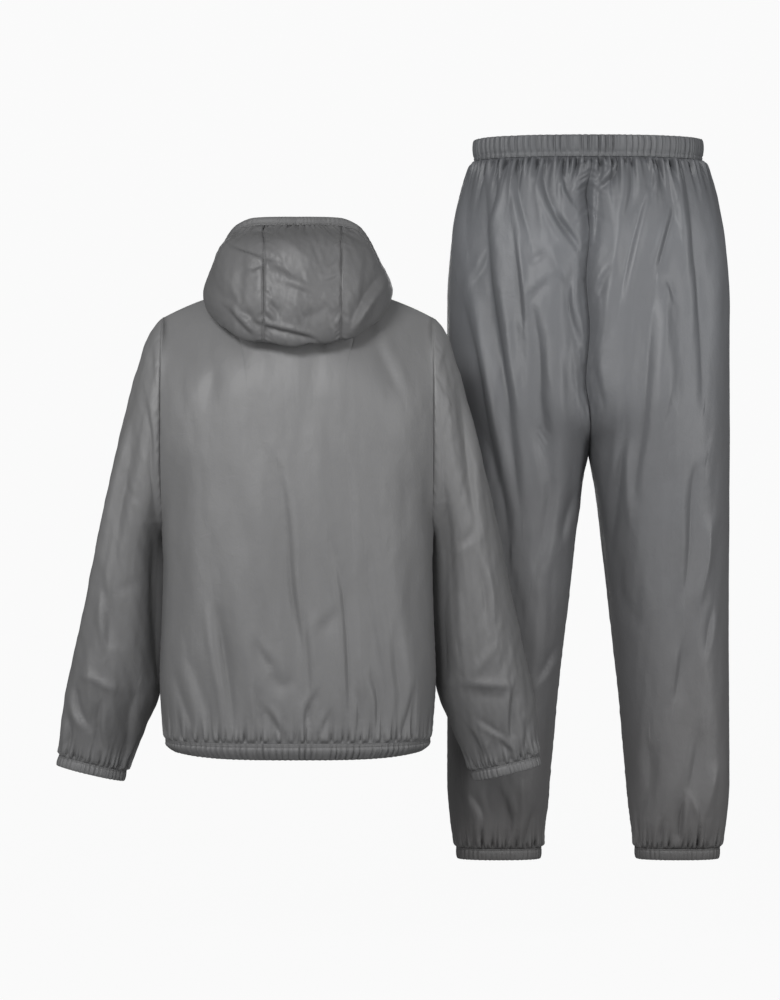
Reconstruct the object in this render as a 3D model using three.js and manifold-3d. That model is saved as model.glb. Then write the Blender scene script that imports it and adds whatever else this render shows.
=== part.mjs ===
// A hooded wind jacket and a pair of elastic-waist trousers, filled out as if worn.
// Millimetres, +Z up, backs towards -Y, the wearer's left towards -X.
// The origin is the middle of the jacket's neck, where the wearer holds it up.

import * as THREE from 'three';
import { mergeVertices } from 'three/addons/utils/BufferGeometryUtils.js';
import Module from 'manifold-3d';

const wasm = await Module();
wasm.setup();

// Cloth and seams
const WALL = 1.5;
const BAND_WALL = 1.8;
const SEAM_GAP = 0.3;
const NECK_LIFT = 0.9;

// Jacket body: width and depth of the filled-out torso are in the TORSO table
const NECK = { halfWidth: 85, back: 75, front: 95, pointZ: 14, backDip: 9, frontDrop: 89 };
const SHOULDER = { slope: 0.2, curve: 0.0016, roundOver: 150, roundPower: 0.8 };
const ARMHOLE = { x: 192, topZ: -28.5, bottomZ: -321, halfDepth: 66, turnIn: 0.36, ease: 1.5, reach: 5 };
const TORSO_FULLNESS = 2.6;
const HEM_SEAM_Z = -622;
const HEM_BAND = {
  height: 21.5,
  halfWidths: [187.5, 185.5, 177],
  backs: [118, 117, 110],
  fronts: [112, 111, 104],
};
const ZIP_HALF_GAP = 4;

// Trousers: placed by the middle of the waist seam
const WAIST_AT = new THREE.Vector3(426, 255, 219.4);
const TROUSER_FULLNESS = 2.4;
const SEAT = { start: 160, crotch: 422.4 };
const WAISTBAND = { height: 32.5, halfWidth: 169, back: 94, front: 87 };
const ANKLE = { seam: 1020.4, cuffHeight: 17 };

// Gathers all round each elastic band
const GATHERS = { hem: 56, waist: 64, cuff: 18, ankle: 22, rise: 1.3, atEdges: 0.6 };
const POINTS_PER_GATHER = 3;

// Half widths and half depths of the jacket's body, by the distance below the neck
const TORSO = [
  { drop: -14, halfWidth: 192, back: 124, front: 112 },
  { drop: 170, halfWidth: 192, back: 129, front: 118 },
  { drop: 321, halfWidth: 192, back: 131, front: 123 },
  { drop: 369, halfWidth: 189.5, back: 129, front: 122 },
  { drop: 450, halfWidth: 191.5, back: 127, front: 121 },
  { drop: 535, halfWidth: 194.5, back: 126, front: 119 },
  { drop: 600, halfWidth: 190.5, back: 122, front: 115 },
  { drop: 622, halfWidth: 187.5, back: 118, front: 112 },
];

// The right sleeve's ribs: each runs from the outer edge to the inner edge (x, z); the left one mirrors it
const SLEEVE = [
  { along: 0, outX: 192.3, outZ: -28.5, inX: 192.3, inZ: -321, midY: 0, halfDepth: 66 },
  { along: 0.08, outX: 207, outZ: -45, inX: 193.4, inZ: -324, midY: 1, halfDepth: 67 },
  { along: 0.2, outX: 227.5, outZ: -102, inX: 194.4, inZ: -328, midY: 4, halfDepth: 67.5 },
  { along: 0.35, outX: 250.5, outZ: -190, inX: 195.4, inZ: -337, midY: 10, halfDepth: 66 },
  { along: 0.5, outX: 278, outZ: -305, inX: 196.4, inZ: -366, midY: 20, halfDepth: 64 },
  { along: 0.65, outX: 302.5, outZ: -420, inX: 198, inZ: -457, midY: 33, halfDepth: 62 },
  { along: 0.8, outX: 323, outZ: -512, inX: 200.5, inZ: -548, midY: 45, halfDepth: 58 },
  { along: 0.91, outX: 337.5, outZ: -583, inX: 222, inZ: -610, midY: 54, halfDepth: 49 },
  { along: 1, outX: 344.5, outZ: -649.5, inX: 247.8, inZ: -672.5, midY: 60, halfDepth: 33 },
];
const SLEEVE_CUFF = { height: 15.5, squeeze: 0.99 };

// The hood's profile by the angle from the centre back, in rings from just above the neck seam over the
// bottom fold and the belly up to the opening: how far each stands from the neck's axis, and how high
const HOOD_RINGS = {
  yoke: [
    { angle: 0, radius: 112, z: -6 },
    { angle: 30, radius: 113, z: -4 },
    { angle: 45, radius: 114, z: 0 },
    { angle: 60, radius: 112, z: 5 },
    { angle: 75, radius: 108, z: 10 },
    { angle: 90, radius: 105, z: 14.5 },
    { angle: 120, radius: 98, z: -3 },
    { angle: 150, radius: 97, z: -47 },
    { angle: 180, radius: 98.5, z: -65 },
  ],
  fold: [
    { angle: 0, radius: 150, z: -72 },
    { angle: 30, radius: 150, z: -60 },
    { angle: 45, radius: 145, z: -42 },
    { angle: 60, radius: 138, z: -22 },
    { angle: 75, radius: 131, z: -4 },
    { angle: 90, radius: 127, z: 9 },
    { angle: 120, radius: 112, z: -8 },
    { angle: 150, radius: 103, z: -44 },
    { angle: 180, radius: 101, z: -54 },
  ],
  belly: [
    { angle: 0, radius: 168, z: -8 },
    { angle: 30, radius: 165, z: -6 },
    { angle: 45, radius: 157, z: -3 },
    { angle: 60, radius: 147, z: 2 },
    { angle: 75, radius: 137, z: 10 },
    { angle: 90, radius: 130, z: 16 },
    { angle: 120, radius: 120, z: 4 },
    { angle: 150, radius: 108, z: -24 },
    { angle: 180, radius: 103.5, z: -36 },
  ],
  crown: [
    { angle: 0, radius: 143, z: 66 },
    { angle: 30, radius: 143, z: 66 },
    { angle: 45, radius: 137, z: 66 },
    { angle: 60, radius: 127, z: 62 },
    { angle: 75, radius: 121, z: 50 },
    { angle: 90, radius: 119, z: 38 },
    { angle: 120, radius: 119, z: 14 },
    { angle: 150, radius: 109, z: -10 },
    { angle: 180, radius: 104, z: -26 },
  ],
  rim: [
    { angle: 0, radius: 69, z: 100.5 },
    { angle: 30, radius: 77, z: 100.5 },
    { angle: 45, radius: 88, z: 99.5 },
    { angle: 60, radius: 101, z: 90 },
    { angle: 75, radius: 109, z: 68 },
    { angle: 90, radius: 113, z: 48 },
    { angle: 120, radius: 115, z: 22 },
    { angle: 150, radius: 109, z: -2 },
    { angle: 180, radius: 104, z: -18 },
  ],
};
const HOOD_FRONT_ANGLE = 177.5;
const HOOD_CASING = { width: 13, leanIn: 0.75 };
// Where the two hood seams run, as angles from the centre back at heights up the hood; half the gap
// between two panels is measured at this radius
const HOOD_SEAMS = [
  { height: 0, left: -20, right: 28 },
  { height: 0.2, left: -20, right: 29 },
  { height: 0.4, left: -17, right: 24.5 },
  { height: 0.6, left: -15, right: 22.5 },
  { height: 0.8, left: -17.5, right: 26 },
  { height: 1, left: -34, right: 45 },
];
const HOOD_SEAM_RADIUS = 120;

// Each leg's outline and depths, by the distance below the waist seam; x is from the centre seam
const LEG = [
  { down: 0, outX: 170.5, inX: 0.15, back: 96, front: 88 },
  { down: 12, outX: 177.5, inX: 0.15, back: 104, front: 95 },
  { down: 55, outX: 191.5, inX: 0.15, back: 116, front: 105 },
  { down: 115, outX: 202, inX: 0.15, back: 124, front: 112 },
  { down: 205, outX: 208.8, inX: 0.15, back: 129, front: 116 },
  { down: 330, outX: 209.2, inX: 0.15, back: 129, front: 114 },
  { down: 422.4, outX: 209, inX: 0.15, back: 121, front: 107 },
  { down: 473, outX: 208.6, inX: 9, back: 114, front: 101 },
  { down: 563, outX: 208.4, inX: 20.4, back: 102, front: 92 },
  { down: 682, outX: 208, inX: 33.6, back: 89, front: 82 },
  { down: 802, outX: 208.6, inX: 47, back: 79, front: 74 },
  { down: 921, outX: 209, inX: 58, back: 70, front: 66 },
  { down: 981, outX: 204.5, inX: 64.2, back: 58, front: 55 },
  { down: 1005, outX: 200.5, inX: 67.5, back: 48, front: 46 },
  { down: 1020.4, outX: 196.5, inX: 69.7, back: 38, front: 37 },
];

// Folds: the middle of each (x, z), its length, its lean from plumb in degrees, its width and its rise
const BACK_FOLDS = [
  { x: -128, z: -136, length: 170, lean: 15, width: 26, rise: 4 },
  { x: 121, z: -92, length: 150, lean: -22, width: 24, rise: 4 },
  { x: 60, z: -215, length: 200, lean: -34, width: 30, rise: -3 },
  { x: -62, z: -250, length: 200, lean: 30, width: 30, rise: -3 },
  { x: -107, z: -540, length: 230, lean: -8, width: 20, rise: -5 },
  { x: -140, z: -500, length: 260, lean: 3, width: 26, rise: 4 },
  { x: -70, z: -520, length: 240, lean: -4, width: 24, rise: 3.5 },
  { x: -4, z: -460, length: 380, lean: -5, width: 22, rise: -4 },
  { x: 60, z: -430, length: 300, lean: -3, width: 24, rise: 3.5 },
  { x: 112, z: -520, length: 260, lean: 2, width: 24, rise: -3.5 },
  { x: 152, z: -470, length: 300, lean: -2, width: 24, rise: 3.5 },
];
const FRONT_FOLDS = [
  { x: -120, z: -170, length: 200, lean: 16, width: 28, rise: 3.5 },
  { x: 122, z: -160, length: 200, lean: -18, width: 28, rise: 3.5 },
  { x: -95, z: -500, length: 260, lean: -4, width: 24, rise: -4 },
  { x: 88, z: -510, length: 250, lean: 5, width: 24, rise: -4 },
  { x: -145, z: -480, length: 280, lean: 2, width: 24, rise: 3.5 },
  { x: 142, z: -490, length: 260, lean: -3, width: 24, rise: 3.5 },
];
const SEAT_FOLDS = [
  { x: 0, z: -150, length: 430, lean: 0, width: 18, rise: -9 },
  { x: -38, z: -72, length: 140, lean: -26, width: 16, rise: -7 },
  { x: -62, z: -60, length: 130, lean: -20, width: 18, rise: 4 },
  { x: 24, z: -70, length: 120, lean: 18, width: 16, rise: -6 },
  { x: 44, z: -170, length: 220, lean: 8, width: 18, rise: 5 },
  { x: -138, z: -290, length: 560, lean: -7, width: 24, rise: -5 },
  { x: -78, z: -360, length: 420, lean: -6, width: 26, rise: -4 },
  { x: -104, z: -330, length: 480, lean: -5, width: 22, rise: 4 },
  { x: 88, z: -360, length: 400, lean: 5, width: 26, rise: -5 },
  { x: 58, z: -440, length: 420, lean: 4, width: 22, rise: 4 },
  { x: 164, z: -230, length: 420, lean: -4, width: 24, rise: -5 },
  { x: 120, z: -500, length: 460, lean: 0, width: 28, rise: 4 },
  { x: 152, z: -600, length: 260, lean: 3, width: 22, rise: -5 },
  { x: 176, z: -600, length: 220, lean: 8, width: 18, rise: 4 },
  { x: 142, z: -800, length: 200, lean: 6, width: 20, rise: -4 },
  { x: 96, z: -960, length: 160, lean: 6, width: 22, rise: -4 },
  { x: -90, z: -760, length: 420, lean: -2, width: 26, rise: 4 },
  { x: -146, z: -740, length: 420, lean: 3, width: 26, rise: 4 },
];
const LAP_FOLDS = [
  { x: 0, z: -160, length: 420, lean: 0, width: 20, rise: -6 },
  { x: -60, z: -110, length: 240, lean: -14, width: 24, rise: 4 },
  { x: 60, z: -120, length: 240, lean: 14, width: 24, rise: 4 },
  { x: -112, z: -550, length: 600, lean: 2, width: 30, rise: 4 },
  { x: 112, z: -570, length: 600, lean: -2, width: 30, rise: 4 },
];

const QUARTER = Math.PI / 2;
const X_AXIS = new THREE.Vector3(1, 0, 0);
const Y_AXIS = new THREE.Vector3(0, 1, 0);
const Z_AXIS = new THREE.Vector3(0, 0, 1);
const LEFT = -1;
const RIGHT = 1;
const BACK = -1;
const FRONT = 1;

const radians = THREE.MathUtils.degToRad;
const mix = THREE.MathUtils.lerp;
const steps = (count) => Array.from({ length: count + 1 }, (_, i) => i / count);

// One column of a table at any place along its first column, smooth and without overshoot
function readTable(rows, column, at) {
  const key = Object.keys(rows[0])[0];
  const rise = (i) => (rows[i + 1][column] - rows[i][column]) / (rows[i + 1][key] - rows[i][key]);
  const slope = (i) => {
    if (i === 0) return rise(0);
    if (i === rows.length - 1) return rise(i - 1);
    const before = rise(i - 1);
    const after = rise(i);
    return before * after <= 0 ? 0 : (2 * before * after) / (before + after);
  };
  const place = THREE.MathUtils.clamp(at, rows[0][key], rows[rows.length - 1][key]);
  let i = 0;
  while (i < rows.length - 2 && place > rows[i + 1][key]) i += 1;
  const span = rows[i + 1][key] - rows[i][key];
  const t = (place - rows[i][key]) / span;
  const s = 1 - t;
  return rows[i][column] * s * s * (1 + 2 * t) + slope(i) * span * t * s * s
    + rows[i + 1][column] * t * t * (1 + 2 * s) - slope(i + 1) * span * t * t * s;
}

// The depth of a rounded-square section, from 1 at its middle to 0 at its side
const roundedDepth = (sine, fullness) => Math.max(0, 1 - Math.abs(sine) ** fullness) ** (1 / fullness);

// How far a table of folds lifts the cloth at (x, z)
function foldRise(folds, x, z) {
  return folds.reduce((sum, fold) => {
    const lean = radians(fold.lean);
    const across = (x - fold.x) * Math.cos(lean) - (fold.z - z) * Math.sin(-lean);
    const along = (fold.z - z) * Math.cos(lean) + (x - fold.x) * Math.sin(-lean);
    const reach = Math.min(1, Math.abs(along) / (fold.length / 2));
    return sum + fold.rise * Math.exp(-((across / fold.width) ** 2)) * (1 - reach * reach) ** 2;
  }, 0);
}

// Angles that step evenly along a closed section, for gathers of one width
function evenAngles(pointAt, from, to, count) {
  const samples = 720;
  const lengths = [0];
  let last = pointAt(from);
  for (let i = 1; i <= samples; i += 1) {
    const next = pointAt(mix(from, to, i / samples));
    lengths.push(lengths[i - 1] + next.distanceTo(last));
    last = next;
  }
  return steps(count).map((share) => {
    const wanted = share * lengths[samples];
    let i = 0;
    while (i < samples - 1 && lengths[i + 1] < wanted) i += 1;
    return mix(from, to, (i + (wanted - lengths[i]) / (lengths[i + 1] - lengths[i])) / samples);
  });
}

// A closed cloth wall: outer points on a surface over (us, vs), inner points one thickness inside.
// ring closes it along u; turn is -1 where the surface's own normal points inwards; hold gives the
// direction that an edge's thickness keeps clear of, so that a seam edge stays in the seam's plane.
function clothWall({ surface, us, vs, ring = false, turn = 1, thickness = WALL, hold = () => null }) {
  const columns = ring ? us.slice(0, -1) : us;
  const rows = vs.length;
  const nudge = 1e-4;
  const uStep = (us[us.length - 1] - us[0]) * nudge;
  const vStep = (vs[rows - 1] - vs[0]) * nudge;
  const inRange = (value, list) => (value - list[0]) * (value - list[list.length - 1]) <= 0;
  const tangent = (at, step, list, free, point) => {
    const ahead = free || inRange(at + step, list) ? at + step : at;
    const behind = free || inRange(at - step, list) ? at - step : at;
    return point(ahead).sub(point(behind));
  };
  const outer = [];
  const inner = [];
  columns.forEach((u, i) => vs.forEach((v, j) => {
    const point = surface(u, v, i, j);
    const alongU = tangent(u, uStep, us, ring, (at) => surface(at, v, i, j));
    const alongV = tangent(v, vStep, vs, false, (at) => surface(u, at, i, j));
    const out = alongU.cross(alongV).normalize().multiplyScalar(turn);
    const held = hold(i, j);
    if (held) out.addScaledVector(held, -out.dot(held)).normalize();
    outer.push(point.x, point.y, point.z);
    const inside = point.clone().addScaledVector(out, -thickness);
    inner.push(inside.x, inside.y, inside.z);
  }));
  const count = columns.length * rows;
  const at = (i, j, layer) => (i % columns.length) * rows + j + layer * count;
  const index = [];
  const quad = (a, b, c, d) => index.push(a, b, c, a, c, d);
  const spans = ring ? columns.length : columns.length - 1;
  for (let i = 0; i < spans; i += 1) {
    for (let j = 0; j < rows - 1; j += 1) {
      quad(at(i, j, 0), at(i + 1, j, 0), at(i + 1, j + 1, 0), at(i, j + 1, 0));
      quad(at(i, j, 1), at(i, j + 1, 1), at(i + 1, j + 1, 1), at(i + 1, j, 1));
    }
    quad(at(i + 1, 0, 0), at(i, 0, 0), at(i, 0, 1), at(i + 1, 0, 1));
    quad(at(i, rows - 1, 0), at(i + 1, rows - 1, 0), at(i + 1, rows - 1, 1), at(i, rows - 1, 1));
  }
  if (!ring) {
    for (let j = 0; j < rows - 1; j += 1) {
      quad(at(0, j, 0), at(0, j + 1, 0), at(0, j + 1, 1), at(0, j, 1));
      quad(at(spans, j + 1, 0), at(spans, j, 0), at(spans, j, 1), at(spans, j + 1, 1));
    }
  }
  if (turn < 0) index.reverse();
  const geometry = new THREE.BufferGeometry();
  geometry.setAttribute('position', new THREE.Float32BufferAttribute([...outer, ...inner], 3));
  geometry.setIndex(index);
  geometry.computeVertexNormals();
  return geometry;
}

const finish = (color, roughness, metalness = 0) => (
  new THREE.MeshStandardMaterial({ color, roughness, metalness })
);
const jacketCloth = finish(0x7f7f7f, 0.6);
const hoodCloth = finish(0x737373, 0.6);
const trouserCloth = finish(0x6f7174, 0.55);
const zipTape = finish(0x4a4a4a, 0.8);
const zipMetal = finish(0x8c8c8c, 0.35, 1);

const jacket = new THREE.Group();
const trousers = new THREE.Group();
trousers.position.copy(WAIST_AT);

function addPiece(group, name, material, geometry) {
  const mesh = new THREE.Mesh(geometry, material);
  mesh.name = name;
  group.add(mesh);
  return mesh;
}

// Jacket body

// Half the armhole's depth at a height; a power over 0.5 rounds its ends off, for the cloth inside it
const armholeDepth = (z, power = 0.5) => {
  const middle = (ARMHOLE.topZ + ARMHOLE.bottomZ) / 2;
  const halfHeight = (ARMHOLE.topZ - ARMHOLE.bottomZ) / 2;
  return ARMHOLE.halfDepth * Math.max(0, 1 - ((z - middle) / halfHeight) ** 2) ** power;
};

// The top edge at a distance from the centre: the neckline, then the shoulder seam
function topEdge(x, face) {
  const out = Math.abs(x) / NECK.halfWidth;
  if (out < 1) {
    const reach = face === BACK ? NECK.back : NECK.front;
    const dip = face === BACK ? NECK.backDip : NECK.frontDrop;
    return { depth: reach * Math.sqrt(1 - out * out), z: NECK.pointZ - dip * (1 - out * out) };
  }
  const beyond = Math.abs(x) - NECK.halfWidth;
  return { depth: 0, z: NECK.pointZ - SHOULDER.slope * beyond - SHOULDER.curve * beyond * beyond };
}

// Folds are gone at the hem seam
const hemFade = (z) => THREE.MathUtils.smoothstep(z - HEM_SEAM_Z, 0, 40);

// across: 0 at the centre, 1 at the side or armhole; down: 0 top edge, 1 armpit level, 2 hem seam
function torsoPoint(across, down, face, side) {
  const gap = face === FRONT ? ZIP_HALF_GAP : 0;
  const topX = gap + (ARMHOLE.x - gap) * Math.sin(Math.abs(across) * QUARTER);
  const top = topEdge(topX, face);
  const z = down <= 1
    ? mix(top.z, ARMHOLE.bottomZ, (1 - Math.cos(Math.PI * down)) / 2)
    : mix(ARMHOLE.bottomZ, HEM_SEAM_Z, down - 1);
  const halfWidth = readTable(TORSO, 'halfWidth', -z);
  const fullDepth = readTable(TORSO, face === BACK ? 'back' : 'front', -z);
  const eased = armholeDepth(z, ARMHOLE.ease);
  const sideDepth = mix(eased, armholeDepth(z), Math.abs(across) ** ARMHOLE.reach);
  const sweep = QUARTER * (1 - (ARMHOLE.turnIn * sideDepth) / ARMHOLE.halfDepth);
  const sine = Math.sin(Math.abs(across) * sweep);
  const atSide = roundedDepth(Math.sin(sweep), TORSO_FULLNESS);
  const towardsCentre = (roundedDepth(sine, TORSO_FULLNESS) - atSide) / (1 - atSide);
  const dropped = Math.min(1, Math.max(0, top.z - z) / SHOULDER.roundOver);
  const built = Math.sin(QUARTER * dropped ** SHOULDER.roundPower);
  const x = (gap + ((halfWidth - gap) * sine) / Math.sin(sweep)) * side * Math.sign(across || 1);
  const crown = top.depth + (fullDepth - top.depth) * built;
  const folds = foldRise(face === BACK ? BACK_FOLDS : FRONT_FOLDS, x, z) * towardsCentre * built;
  const depth = sideDepth * (1 - towardsCentre) + towardsCentre * crown + folds * hemFade(z);
  return new THREE.Vector3(x, face * (depth + SEAM_GAP / 2), z);
}

const TORSO_MESH = { neckAngles: [0, 30, 60], shoulderColumns: 6, rows: 8 };

// Columns across a panel: a few over the neckline, set by its curve, then even ones to the armhole
function panelColumns(face) {
  const gap = face === FRONT ? ZIP_HALF_GAP : 0;
  const atX = (x) => Math.asin(Math.max(0, x - gap) / (ARMHOLE.x - gap)) / QUARTER;
  const neck = TORSO_MESH.neckAngles.map((angle) => atX(NECK.halfWidth * Math.sin(radians(angle))));
  const shoulder = steps(TORSO_MESH.shoulderColumns).map((share) => mix(atX(NECK.halfWidth), 1, share));
  return [...neck, ...shoulder];
}

// As many rows above the armpit level as below it
const TORSO_ROWS = [...steps(TORSO_MESH.rows), ...steps(TORSO_MESH.rows).slice(1).map((share) => 1 + share)];

// Seam planes round a torso panel
function torsoHold(columns, isCentreSeam) {
  const last = TORSO_ROWS.length - 1;
  const neckPoint = Math.asin(NECK.halfWidth / ARMHOLE.x) / QUARTER;
  const rounding = 0.01;
  return (i, j) => {
    const across = Math.abs(columns[i]);
    if (j === last) return Z_AXIS;
    if (across === 1) return j > 0 && j < TORSO_MESH.rows ? X_AXIS : Y_AXIS;
    if (isCentreSeam && i === 0) return X_AXIS;
    if (j === 0 && across > neckPoint - rounding) return Y_AXIS;
    return null;
  };
}

function buildTorso() {
  const half = panelColumns(BACK);
  const backColumns = [...half.slice(1).reverse().map((across) => -across), ...half];
  addPiece(jacket, 'jacket_back', jacketCloth, clothWall({
    surface: (across, down) => torsoPoint(across, down, BACK, RIGHT),
    us: backColumns, vs: TORSO_ROWS, turn: -1, hold: torsoHold(backColumns, false),
  }));
  const frontColumns = panelColumns(FRONT);
  for (const [name, side] of [['jacket_front_left', LEFT], ['jacket_front_right', RIGHT]]) {
    addPiece(jacket, name, jacketCloth, clothWall({
      surface: (across, down) => torsoPoint(across, down, FRONT, side),
      us: frontColumns, vs: TORSO_ROWS, turn: side, hold: torsoHold(frontColumns, true),
    }));
  }
}

// Gathered bands

const gatherWave = (turns) => GATHERS.rise * Math.cos(2 * Math.PI * turns);

// A band round an oval section: level gives the section at a share of the band's height
function gatheredBand({ level, from, to, gathers, ring, turn, heights, hold, thickness = BAND_WALL }) {
  const section = (angle, share) => {
    const size = level(share);
    const depth = Math.cos(angle) > 0 ? -size.back : size.front;
    const x = size.halfWidth * Math.sin(angle);
    return new THREE.Vector3(x, depth * roundedDepth(Math.sin(angle), size.fullness), size.z);
  };
  const angles = evenAngles((angle) => section(angle, 0.5), from, to, gathers * POINTS_PER_GATHER);
  const surface = (angle, share, i) => {
    const point = section(angle, share);
    const fullness = mix(GATHERS.atEdges, 1, Math.sin(Math.PI * share));
    const lift = gatherWave(i / POINTS_PER_GATHER) * fullness;
    const away = new THREE.Vector3(point.x, point.y, 0).normalize();
    return point.addScaledVector(away, lift);
  };
  return clothWall({ surface, us: angles, vs: heights, ring, turn, thickness, hold });
}

function buildHemBand() {
  const { height, halfWidths, backs, fronts } = HEM_BAND;
  const between = (sizes, share) => (share < 0.5
    ? mix(sizes[0], sizes[1], share * 2)
    : mix(sizes[1], sizes[2], share * 2 - 1));
  const end = Math.PI - Math.asin(ZIP_HALF_GAP / halfWidths[2]);
  addPiece(jacket, 'hem_band', jacketCloth, gatheredBand({
    level: (share) => ({
      halfWidth: between(halfWidths, share),
      back: between(backs, share),
      front: between(fronts, share),
      fullness: TORSO_FULLNESS,
      z: HEM_SEAM_Z - SEAM_GAP - share * height,
    }),
    from: -end, to: end, gathers: GATHERS.hem, ring: false, turn: -1, heights: [0, 0.5, 1],
    hold: (i, j) => (j === 0 ? Z_AXIS : null),
  }));
}

// Sleeves

const SLEEVE_ROWS = [0, 0.05, 0.12, 0.2, 0.29, 0.38, 0.47, 0.56, 0.65, 0.73, 0.81, 0.88, 0.94, 1];
const SLEEVE_COLUMNS = 18;

// Long soft folds: how high, how many go round the sleeve, and how they turn on the way down
const SLEEVE_FOLDS = [
  { rise: 3, around: 3, twist: 5, start: 0 },
  { rise: 2, around: 5, twist: -9, start: 1 },
];
// How much of them shows half way round, between the outer edge and the side next to the body
const SLEEVE_FOLD_SHARE = 0.4;

// One rib of a sleeve: its middle, the half-rib out to the outer edge, and the half depth
function sleeveRib(along, side) {
  const read = (column) => readTable(SLEEVE, column, along);
  const outEdge = new THREE.Vector3(read('outX') * side, read('midY'), read('outZ'));
  const inEdge = new THREE.Vector3(read('inX') * side, read('midY'), read('inZ'));
  return {
    middle: outEdge.clone().add(inEdge).multiplyScalar(0.5),
    half: outEdge.clone().sub(inEdge).multiplyScalar(0.5),
    halfDepth: read('halfDepth'),
  };
}

// Which way a sleeve points at its cuff seam
function cuffAxis(side) {
  const { half } = sleeveRib(1, side);
  return half.clone().normalize().cross(Y_AXIS).multiplyScalar(-side);
}

// The folds are gone at both seams, and on the side next to the body
function sleeveFold(angle, along) {
  const fade = Math.sin(Math.PI * along) ** 0.7;
  const outer = Math.max(0, mix(SLEEVE_FOLD_SHARE, 1, Math.cos(angle)));
  return fade * outer * SLEEVE_FOLDS.reduce((sum, { rise, around, twist, start }) => (
    sum + rise * Math.sin(around * angle + twist * along + start)), 0);
}

function sleevePoint(angle, along, side) {
  const { middle, half, halfDepth } = sleeveRib(along, side);
  const lift = 1 + sleeveFold(angle, along) / halfDepth;
  return middle.addScaledVector(half, Math.cos(angle))
    .addScaledVector(Y_AXIS, halfDepth * Math.sin(angle) * lift);
}

function buildSleeve(name, cuffName, side) {
  const last = SLEEVE_ROWS.length - 1;
  const axis = cuffAxis(side);
  addPiece(jacket, name, jacketCloth, clothWall({
    surface: (angle, along) => sleevePoint(angle, along, side),
    us: steps(SLEEVE_COLUMNS).map((share) => share * 2 * Math.PI), vs: SLEEVE_ROWS, ring: true, turn: -side,
    hold: (i, j) => (j === 0 ? X_AXIS : j === last ? axis : null),
  }));
  const seam = sleeveRib(1, side);
  const section = (angle, share) => {
    const squeeze = mix(1, SLEEVE_CUFF.squeeze, share);
    return seam.middle.clone()
      .addScaledVector(axis, SEAM_GAP + share * SLEEVE_CUFF.height)
      .addScaledVector(seam.half, Math.cos(angle) * squeeze)
      .addScaledVector(Y_AXIS, Math.sin(angle) * seam.halfDepth * squeeze);
  };
  const angles = evenAngles((angle) => section(angle, 0.5), 0, 2 * Math.PI, GATHERS.cuff * POINTS_PER_GATHER);
  addPiece(jacket, cuffName, jacketCloth, clothWall({
    surface: (angle, share, i) => {
      const away = section(angle, share).sub(section(angle + Math.PI, share)).normalize();
      return section(angle, share).addScaledVector(away, gatherWave(i / POINTS_PER_GATHER));
    },
    us: angles, vs: [0, 1], ring: true, turn: -side, thickness: BAND_WALL, hold: () => axis,
  }));
}

// Hood

const hoodAngle = (angle) => {
  const turned = Math.abs(angle) % 360;
  return turned > 180 ? 360 - turned : turned;
};

// The neck seam at an angle from the centre back, on the panels' own top edges
function neckSeam(angle) {
  const turned = hoodAngle(angle);
  const face = turned <= 90 ? BACK : FRONT;
  const gap = face === FRONT ? ZIP_HALF_GAP : 0;
  const x = Math.max(gap, NECK.halfWidth * Math.sin(radians(turned)));
  const across = Math.asin((x - gap) / (ARMHOLE.x - gap)) / QUARTER;
  return torsoPoint(across, 0, face, Math.sign(angle) || 1);
}

// height: 0 at the neck seam, 1 at the casing, in even steps of the profile
function hoodPoint(angle, height) {
  const turned = hoodAngle(angle);
  const around = (radius, z) => new THREE.Vector3(
    radius * Math.sin(radians(angle)), -radius * Math.cos(radians(angle)), z);
  const rings = Object.values(HOOD_RINGS)
    .map((ring) => around(readTable(ring, 'radius', turned), readTable(ring, 'z', turned)));
  const neck = neckSeam(angle).addScaledVector(Z_AXIS, NECK_LIFT);
  return new THREE.CatmullRomCurve3([neck, ...rings]).getPoint(height);
}

const HOOD_ROWS = [0, 0.1, 0.18, 0.25, 0.32, 0.41, 0.5, 0.62, 0.74, 0.87, 1];
const HOOD_COLUMNS = { side: 12, centre: 6 };

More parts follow.
